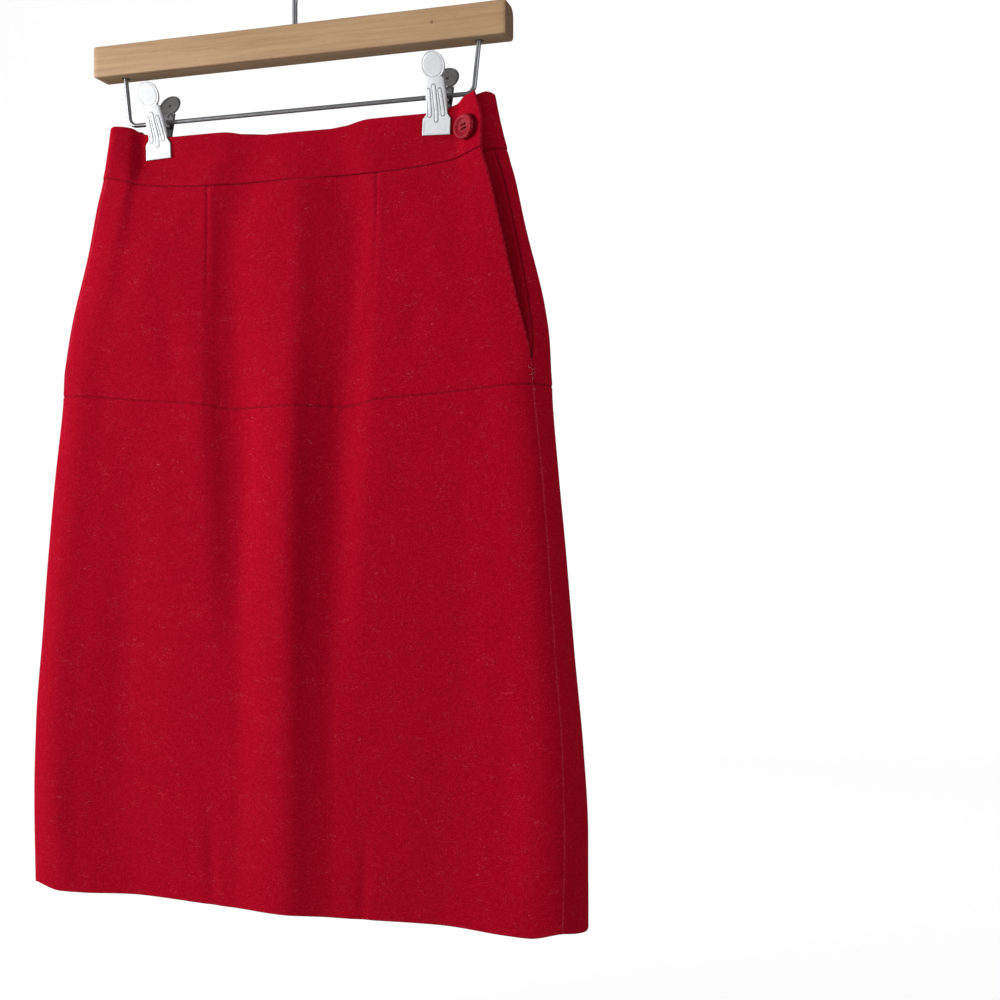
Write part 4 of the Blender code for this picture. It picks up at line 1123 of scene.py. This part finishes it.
def make_button():
    """A softly shining four-hole button, and the thread that holds it."""
    place = button_place()
    points, faces = turned(BUTTON_PROFILE, 72)
    button = solid_object("coat_button", [(placed(place, points), faces)], RESIN)
    spots = [Vector((sx, sy, 0)).normalized() * BUTTON_HOLE_RING for sx in (-1, 1) for sy in (-1, 1)]
    cutters = []
    for n, spot in enumerate(spots):
        line = placed(place, [spot + Vector((0, 0, z)) for z in (-3, 0, 3)])
        cutters.append(solid_object(f"button_hole_{n}", [tube(line, BUTTON_HOLE_RADIUS, 20, False)], RESIN))
    cut_through(button, cutters)

    strands = []
    for sy in (-1, 1):
        left, right = (Vector((sx, sy, 0)).normalized() * BUTTON_HOLE_RING for sx in (-1, 1))
        for offset, lift in BUTTON_STRANDS:
            side = Vector((0, offset, 0))
            climb = [(0.94, -1.6), (1, 0.42), (0.86, 0.80 + lift)]  # from inside a hole to over its rim
            line = [left * share + side + Vector((0, 0, z)) for share, z in climb]
            line += [(left + right) / 2 + side * 1.3 + Vector((0, 0, 1.02 + lift))]
            line += [right * share + side + Vector((0, 0, z)) for share, z in reversed(climb)]
            strands.append(tube(placed(place, smooth_line(line, 4)), BUTTON_THREAD, 8))
    low, high = -BUTTON_THICKNESS / 2 - BUTTON_STANDOFF - 0.5, -BUTTON_THICKNESS / 2 + 0.2
    wound = []
    for n in range(SHANK_STEPS + 1):
        angle = 2 * math.pi * SHANK_TURNS * n / SHANK_STEPS
        height = low + (high - low) * n / SHANK_STEPS
        wound.append((SHANK_RADIUS * math.cos(angle), SHANK_RADIUS * math.sin(angle), height))
    strands.append(tube(placed(place, wound), SHANK_THREAD, 8))
    core = [(0.25 * z, 0.1, low + (high - low) * z) for z in np.linspace(0, 1, 6)]
    strands.append(tube(placed(place, core), SHANK_CORE, 12))
    thread = solid_object("button_thread", strands, THREAD, 60)
    return button, thread


def smooth_line(points, steps):
    """A finer line through these points, by a Catmull-Rom curve."""
    points = [np.asarray(p, float) for p in points]
    padded = [2 * points[0] - points[1], *points, 2 * points[-1] - points[-2]]
    line = []
    for a, b, c, d in zip(padded, padded[1:], padded[2:], padded[3:]):
        for n in range(steps):
            t = n / steps
            bend = (2 * a - 5 * b + 4 * c - d) * t**2 + (3 * b - a - 3 * c + d) * t**3
            line.append(b + 0.5 * ((c - a) * t + bend))
    line.append(points[-1])
    return line


# The hanger ---------------------------------------------------------------------------------------


def corner_arc(centre, radius, start, steps):
    """A quarter circle of (y, z) points that starts at the given angle."""
    angles = [math.radians(start + 90 * n / steps) for n in range(steps + 1)]
    return [(centre[0] + radius * math.cos(a), centre[1] + radius * math.sin(a)) for a in angles]


def bar_outline(inset):
    """The bar's cross-section in (y, z): a plank whose back top edge is rounded off most."""
    half, top, low = BAR_HALF_DEPTH - inset, BAR_TOP - inset, BAR_BOTTOM + inset
    outline = corner_arc((half - BACK_TOP_ARC, top - BACK_TOP_ARC), BACK_TOP_ARC, 0, 12)
    outline += corner_arc((FRONT_TOP_ARC - half, top - FRONT_TOP_ARC), FRONT_TOP_ARC, 90, 6)
    outline += corner_arc((FRONT_LOW_ARC - half, low + FRONT_LOW_ARC), FRONT_LOW_ARC, 180, 6)
    outline += corner_arc((half - BACK_LOW_ARC, low + BACK_LOW_ARC), BACK_LOW_ARC, 270, 6)
    return outline


def make_bar():
    """The wooden bar, with its edges eased by hand sanding and its three bores."""
    rings = [(BAR_HALF_LENGTH - along, inset) for along, inset in BAR_END]
    rings += [(rings[-1][0] - BAR_RING_PITCH * n, 0.0) for n in range(1, BAR_RINGS + 1)]
    rings += [(-x, inset) for x, inset in reversed(rings)]
    outline_rings = []
    for x, inset in rings:
        wave = 0.06 * math.sin(x / 23.0) + 0.04 * math.sin(x / 9.1 + 1)
        outline_rings.append([(x, y, z + (wave if z > BAR_TOP - 3 else 0)) for y, z in bar_outline(inset)])
    count = len(outline_rings[0])
    points = np.array([point for ring in outline_rings for point in ring])
    faces = [tuple(range(count)), tuple((len(rings) - 1) * count + n for n in reversed(range(count)))]
    for ring in range(len(rings) - 1):
        a, b = ring * count, (ring + 1) * count
        faces += [(a + n, b + n, b + (n + 1) % count, a + (n + 1) % count) for n in range(count)]
    bar = solid_object("wooden_bar", [(points, faces)], WOOD, 50)
    hook_line = [(0, 0, BAR_TOP + z) for z in (-HOOK_IN_BAR - 1, 0, 8)]
    cutters = [solid_object("hook_bore", [tube(hook_line, HOOK_RADIUS + BORE_CLEARANCE, 40, False)], WOOD)]
    for side in (-1, 1):
        leg_line = [(side * WIRE_HALF_TOP, 0, BAR_BOTTOM + z) for z in (-8, 0, WIRE_IN_BAR + 1)]
        cutters.append(
            solid_object(f"wire_bore_{side}", [tube(leg_line, WIRE_RADIUS + BORE_CLEARANCE, 32, False)], WOOD)
        )
    cut_through(bar, cutters)
    mesh = bar.data
    place = np.zeros(len(mesh.vertices) * 3)
    mesh.vertices.foreach_get("co", place)
    place = place.reshape(-1, 3) / MM
    near_edge = np.zeros(len(place))
    for y, z, reach in ((-BAR_HALF_DEPTH, BAR_TOP, 2.4), (-BAR_HALF_DEPTH, BAR_BOTTOM, 2.0)):
        near_edge = np.maximum(near_edge, bump(np.hypot(place[:, 1] - y, place[:, 2] - z), reach))
    point_values(mesh, "edge", near_edge)
    return bar


def hook_path():
    """The middle line of the hook, from its foot in the bar to its tip."""
    middle = HOOK_INSIDE + HOOK_RADIUS
    start_angle = -48.0
    at = math.radians(start_angle)
    start = (middle * math.cos(at), -HOOK_INSIDE + middle * math.sin(at))
    heading = (-math.sin(at), math.cos(at))
    bend_start, reach = -52.0, 11.0
    path = [(0, 0, z) for z in np.linspace(BAR_TOP - HOOK_IN_BAR, bend_start - 1.5, 12)]
    for t in np.linspace(0, 1, 22)[:-1]:
        a, b, c, d = (1 - t) ** 3, 3 * t * (1 - t) ** 2, 3 * t**2 * (1 - t), t**3
        x = c * (start[0] - reach * heading[0]) + d * start[0]
        z = a * bend_start + b * (bend_start + reach) + c * (start[1] - reach * heading[1]) + d * start[1]
        path.append((x, 0, z))
    for angle in np.radians(np.linspace(start_angle, HOOK_TIP_ANGLE, 90)):
        path.append((middle * math.cos(angle), 0, -HOOK_INSIDE + middle * math.sin(angle)))
    return path


def make_hook():
    return solid_object("round_hook", [tube(hook_path(), HOOK_RADIUS, 28)], ROD, 60)


def half_wire():
    """One half of the wire frame, from the middle of its low bar to the leg's end inside the wooden bar."""
    lean = math.atan2(WIRE_HALF_TOP - WIRE_HALF_LOW, BAR_BOTTOM - WIRE_Z)
    turn_total = math.pi / 2 - lean
    tangent = WIRE_BEND * math.tan(turn_total / 2)
    centre = (WIRE_HALF_LOW - tangent, WIRE_Z + WIRE_BEND)
    path = [(x, 0, WIRE_Z) for x in np.linspace(0, centre[0] - 0.6, 40)]
    for turn in np.linspace(0, turn_total, 18):
        angle = -math.pi / 2 + turn
        path.append((centre[0] + WIRE_BEND * math.cos(angle), 0, centre[1] + WIRE_BEND * math.sin(angle)))
    foot = path[-1]
    for t in np.linspace(0, 1, 12)[1:]:
        path.append((foot[0] + (WIRE_HALF_TOP - foot[0]) * t, 0, foot[2] + (BAR_BOTTOM - foot[2]) * t))
    path.append((WIRE_HALF_TOP, 0, BAR_BOTTOM + WIRE_IN_BAR))
    return path


def make_wire():
    half = half_wire()
    path = [(-x, y, z) for x, y, z in reversed(half[1:])] + half
    return solid_object("wire_frame", [tube(path, WIRE_RADIUS, 24)], ROD, 60)


# The clips ----------------------------------------------------------------------------------------


def plate_row(height):
    """A plate's half width, inner face and flange at a height."""
    heights = [row.height for row in PLATE_ROWS]
    neck = PLATE_ROWS[-1]
    if height <= neck.height:
        return [float(np.interp(height, heights, column)) for column in list(zip(*PLATE_ROWS))[1:]]
    ring = math.sqrt(max(0.0, PAD_RADIUS**2 - (height - PAD_CENTRE) ** 2))
    joining = ease(height, neck.height, neck.height + 3.0)
    flange = neck.flange + (0.3 - neck.flange) * joining
    inner = neck.inner + (height - neck.height) * PAD_LEAN
    return [max(ring, neck.half_width * (1 - joining)), inner, flange]


def plate_heights():
    low = [-30.8, -30.72, -30.5, -30.2] + list(np.arange(-29.8, 10.4, 0.5))
    top = PAD_CENTRE + PAD_RADIUS
    degrees = np.linspace(-60, 88, 46)
    pad = [PAD_CENTRE + PAD_RADIUS * math.sin(math.radians(a)) for a in degrees]
    return np.array(low + [height for height in pad if 10.6 < height < top])


def stamped(x, height):
    """How far a plate's sheet is pressed out of its plane, and its painted shade at ribs, pad ring and edges.
    """
    proud, dark = np.zeros_like(x), np.zeros_like(x)
    for rib in RIBS:
        lean, rise = rib.high_x - rib.low_x, rib.high - rib.low
        over, above = x - rib.low_x, height - rib.low
        t = np.clip((over * lean + above * rise) / (lean**2 + rise**2), 0, 1)
        distance = np.hypot(over - t * lean, above - t * rise)
        proud += RIB_PROUD * step_down(distance, RIB_HALF_WIDTH - 0.25, 0.9)
        proud -= 0.14 * bump(distance - 1.5, 0.3)
        dark += bump(distance - 1.5, 0.34)
    ring = np.hypot(x, height - PAD_CENTRE)
    proud += np.where(height > 8, -0.22 * bump(ring - PAD_RING, 0.35) + 0.10 * bump(ring - 9.3, 0.4), 0)
    dark += np.where(height > 8, 0.25 * bump(ring - PAD_RING, 0.3), 0)
    inside = np.minimum(np.minimum(10.0 - np.abs(x), height + 29.6), JAW_TOP - 1.2 - height)
    proud -= 0.12 * np.clip(inside / 0.6 + 0.5, 0, 1)
    dark += 0.12 * bump(inside, 0.3) + 0.5 * bump(height - PLATE_ROWS[0].height, 0.3)
    return proud, dark


def plate_grids():
    """A front plate in the clip's own frame, facing -Y: outer and inner points, and its groove values of
    painted shade.
    """
    across_face = np.linspace(-1, 1, 45)[1:-1]
    corner = np.radians(np.linspace(0, 90, 7))
    outer, inner, dark = [], [], []
    for height in plate_heights():
        half_width, inside, flange = plate_row(height)
        face, back_face, fold = -inside - CLIP_PLATE, -inside, flange - inside
        thin = min(1.0, half_width / 3)
        bend = min(1.4, (CLIP_PLATE + flange) * 0.55, half_width * 0.4)
        small = max(0.08, (bend - CLIP_PLATE) * thin)
        side, back_side = half_width, half_width - CLIP_PLATE * thin
        turns = [(1 - math.cos(a), 1 - math.sin(a)) for a in corner]
        arc = [(-side + bend * x, face + bend * y) for x, y in turns]
        back_arc = [(-back_side + small * x, back_face + small * y) for x, y in turns]
        walls = np.linspace(0, 1, 4)[:-1]
        left = [(-side, fold + (arc[0][1] - fold) * t) for t in walls] + arc
        back_left = [(-back_side, fold + (back_arc[0][1] - fold) * t) for t in walls] + back_arc
        across = across_face * (side - bend)
        back_across = across_face * (back_side - small)
        crown = CROWN * ease(flange, 0.0, 1.0) * (1 - across_face ** 2)
        proud, groove = stamped(across, np.full_like(across, height))
        right, back_right = ([(-x, y) for x, y in reversed(edge)] for edge in (left, back_left))
        row = left + list(zip(across, face - crown - proud)) + right
        back_row = back_left + list(zip(back_across, back_face - crown - proud)) + back_right
        outer.append([(x, y, height) for x, y in row])
        inner.append([(x, y, height) for x, y in back_row])
        # Painted shade on the folded sides, darkest at their folded-back edge.
        shade = list(np.linspace(0.8, 0.0, len(left)))
        dark.append(shade + list(groove) + shade[::-1])
    return np.array(outer, float), np.array(inner, float), np.array(dark, float)


def ear(x):
    """A lug that reaches from the plate to the wire and round it, as (points, faces)."""
    lug_radius, half_thickness, ease_edge = 3.9, 0.45, 0.18
    round_side = np.radians(np.linspace(-100, 100, 24))
    outline = [(-10.9, 4.0), (-7.6, -4.0)]
    outline += [(lug_radius * math.cos(a), lug_radius * math.sin(a)) for a in round_side]
    corners = {math.atan2(z, y) for y, z in outline}
    angles = sorted(corners | set(np.linspace(-math.pi, math.pi, 60, endpoint=False)))
    points, faces = [], []
    for angle in angles:
        far = far_edge(outline, angle)
        half_ring = [(CLIP_HOLE, -1.0), (far - ease_edge, -1.0), (far, -0.6)]
        for radius, side in half_ring + [(radius, -side) for radius, side in reversed(half_ring)]:
            points.append((x + side * half_thickness, radius * math.cos(angle), radius * math.sin(angle)))
    for turn in range(len(angles)):
        a, b = turn * 6, (turn + 1) % len(angles) * 6
        faces += [(a + n, a + (n + 1) % 6, b + (n + 1) % 6, b + n) for n in range(6)]
    return np.array(points), faces


def far_edge(outline, angle):
    """How far the outline lies from the origin in a direction."""
    dy, dz = math.cos(angle), math.sin(angle)
    reach = 0.0
    for (ay, az), (by, bz) in zip(outline, outline[1:] + outline[:1]):
        ey, ez = by - ay, bz - az
        cross = dy * ez - dz * ey
        if abs(cross) < 1e-9:
            continue
        along = (ay * ez - az * ey) / cross
        part = (ay * dz - az * dy) / cross
        if along > 0 and -1e-6 <= part <= 1 + 1e-6:
            reach = max(reach, along)
    return reach


def clip_place(side):
    lean = Matrix.Rotation(math.radians(side * CLIP_ROLL), 4, "Y")
    return Matrix.Translation(Vector((side * CLIP_X, 0, WIRE_Z))) @ lean


def make_plate(name, place, finish, ear_x, holed):
    """One plate of a clip with its two ears."""
    outer, inner, dark = plate_grids()
    if holed:
        across, height = outer[..., 0], outer[..., 2]
        edge = np.maximum(np.abs(across) / PAD_HOLE[0], np.abs(height - PAD_CENTRE) / PAD_HOLE[1])
        dimple = step_down(edge, 1.0, 0.4) * (height > PAD_CENTRE - PAD_RADIUS)
        # Painted shade: the square dimple is darkened like a hole.
        dark = np.maximum(dark, dimple)
        outer[..., 1] += 0.5 * dimple
    wall = (np.concatenate([outer.reshape(-1, 3), inner.reshape(-1, 3)]), shell_faces(*outer.shape[:2]))
    points, faces = joined([wall] + [ear(x) for x in (-ear_x, ear_x)])
    mesh = mesh_of(name, placed(place, points), faces, finish)
    turn_outwards(mesh)
    mesh.set_sharp_from_angle(angle=math.radians(50))
    # The ears get a fixed share of painted shade.
    values = np.full(len(points), 0.35)
    values[: dark.size] = dark.ravel()
    values[dark.size : 2 * dark.size] = dark.ravel()
    point_values(mesh, "groove", np.clip(values, 0, 1))
    return new_object(name, mesh)


def make_spring(name, place, tree):
    """A coil round the wire, whose two arms press the plates' pads apart."""
    source = new_object(f"{name}_start", bpy.data.meshes.new(f"{name}_start"))
    coil = grow(source, tree, SPRING_SIZES, name)
    half = SPRING_LENGTH / 2
    laid = place @ Matrix.Rotation(math.radians(90), 4, "Y") @ Matrix.Translation(Vector((0, 0, -half)))
    laid.translation *= MM
    coil.data.transform(laid)
    arms = []
    for side in (-1, 1):
        line = [(side * half * x, side * y, z) for x, y, z in SPRING_ARM]
        arms.append(tube(placed(place, smooth_line(line, 4)), SPRING_WIRE, 10))
    return coil, solid_object(f"{name}_arms", arms, SPRING, 60)


def make_clips():
    """Both clips, as {CAD node: piece}, and the springs' arms."""
    half_turn = Matrix.Rotation(math.pi, 4, "Z")
    tree = coil_tree(SPRING)
    made, extras = {}, []
    for side, word in ((-1, "right"), (1, "left")):
        place = clip_place(side)
        made[f"clip_front_{word}"] = make_plate(f"front_plate_{word}", place, PLATE, 6.7, False)
        made[f"clip_rear_{word}"] = make_plate(f"rear_plate_{word}", place @ half_turn, PLATE_IN_SHADE, 5.4, True)
        made[f"clip_spring_{word}"], arms = make_spring(f"spring_{word}", place, tree)
        extras.append(arms)
    return made, extras


# Stage, camera and light --------------------------------------------------------------------------


def floor_finish():
    """White paper that is plain white where it's seen, and lights the skirt from below only a little."""
    made, helper, shader = new_finish("white_paper", Roughness=0.9, Specular_IOR_Level=0.1)
    place = helper.node("ShaderNodeTexCoord").outputs["Object"]
    fibre = noise(helper, mapped(helper, place, (60, 60, 60)), 3.0)
    tone = ramp(helper, fibre, [(0.3, (0.27, 0.27, 0.27)), (0.7, (0.31, 0.31, 0.31))])
    helper.tree.links.new(tone, shader.inputs["Base Color"])
    shader.inputs["Emission Color"].default_value = (1, 1, 1, 1)
    seen = helper.node("ShaderNodeLightPath").outputs["Is Camera Ray"]
    glow = between(helper, seen, 0.0, 1.0, 0.0, PAPER_GLOW)
    helper.tree.links.new(glow, shader.inputs["Emission Strength"])
    return made


def make_floor():
    """A wide sheet of paper under the hanging skirt, curved up behind it."""
    half, low_y, turn_y, bend, top_z = 3.0, -2.6, 1.3, 0.7, 2.4
    profile = [(low_y, FLOOR_Z), (0.0, FLOOR_Z), (turn_y, FLOOR_Z)]
    for angle in np.radians(np.linspace(0, 90, 16)[1:]):
        profile.append((turn_y + bend * math.sin(angle), FLOOR_Z + bend * (1 - math.cos(angle))))
    profile.append((turn_y + bend, top_z))
    across = np.linspace(-half, half, 9)
    points = np.array([[(x / MM, y / MM, z / MM) for x in across] for y, z in profile])
    rows, columns = points.shape[:2]
    faces = [
        (r * columns + c, r * columns + c + 1, (r + 1) * columns + c + 1, (r + 1) * columns + c)
        for r in range(rows - 1) for c in range(columns - 1)
    ]
    mesh = mesh_of("paper_sweep", points.reshape(-1, 3), faces, floor_finish())
    floor = new_object("paper_sweep", mesh)
    return floor


def make_world():
    """Even white studio air: pure white where it's seen, and a soft fill where it lights."""
    world = bpy.data.worlds.new("studio")
    bpy.context.scene.world = world
    world.use_nodes = True
    helper = Tree(world.node_tree)
    ground = world.node_tree.nodes["Background"]
    ground.inputs["Color"].default_value = (1, 1, 1, 1)
    seen = helper.node("ShaderNodeLightPath").outputs["Is Camera Ray"]
    toward = helper.node("ShaderNodeTexCoord").outputs["Generated"]
    parts = helper.node("ShaderNodeSeparateXYZ", Vector=toward)
    above = between(helper, parts.outputs["Z"], -0.3, 0.2, 0.15, 1.0)
    sideways = between(helper, parts.outputs["X"], -1.0, 1.0, *FILL_STRENGTH)
    fill = arithmetic(helper, "MULTIPLY", sideways, above)
    lit = helper.node("ShaderNodeMix", {"data_type": "FLOAT"})
    for socket, value in (("0", seen), ("2", fill), ("3", 1.0)):
        helper.feed(lit, socket, value)
    helper.tree.links.new(lit.outputs[0], ground.inputs["Strength"])


def make_lamps():
    """Soft boxes; azimuth 0 stands in front of the skirt and grows to the picture's right."""
    middle = Vector((0, 0, LIT_HEIGHT))
    for lamp in LAMPS:
        turn, rise = math.radians(lamp.azimuth), math.radians(lamp.elevation)
        away = Vector((math.sin(turn) * math.cos(rise), -math.cos(turn) * math.cos(rise), math.sin(rise)))
        data = bpy.data.lights.new(lamp.name, "AREA")
        data.shape, data.size, data.energy = "DISK", lamp.size, lamp.power
        made = new_object(lamp.name, data)
        made.location = middle + lamp.distance * away
        made.rotation_euler = (-away).to_track_quat("-Z", "Y").to_euler()


def make_camera():
    data = bpy.data.cameras.new("photo")
    data.lens, data.sensor_width = CAMERA_LENS, 36.0
    camera = new_object("photo", data)
    camera.location = CAMERA_PLACE
    camera.rotation_euler = (math.radians(90), 0, math.radians(CAMERA_TURN))
    bpy.context.scene.camera = camera


# All of it ----------------------------------------------------------------------------------------


def kept(piece, slot, *nodes):
    """The piece rides on the only body and stands for these CAD nodes. slot is not used."""
    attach(piece, "root")
    if nodes:
        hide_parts(*nodes)


cloth, seam_lines = make_skirt()
for node, piece in cloth.items():
    kept(piece, "red_wool", node)
kept(make_stitches(seam_lines), "red_wool")
kept(make_tack(), "red_wool")
coat_button, button_thread = make_button()
kept(coat_button, "button_red", "button")
kept(button_thread, "button_red")
kept(make_bar(), "pale_wood", "hanger_bar")
kept(make_hook(), "bright_steel", "hanger_hook")
kept(make_wire(), "bright_steel", "hanger_wire")
clips, arms = make_clips()
for node, piece in clips.items():
    slot = {"front": "plated_steel", "rear": "dull_steel", "spring": "bright_steel"}[node.split("_")[1]]
    kept(piece, slot, node)
for piece in arms:
    kept(piece, "bright_steel")

make_floor()
make_world()
make_lamps()
make_camera()
bpy.context.scene.view_settings.view_transform = "Standard"
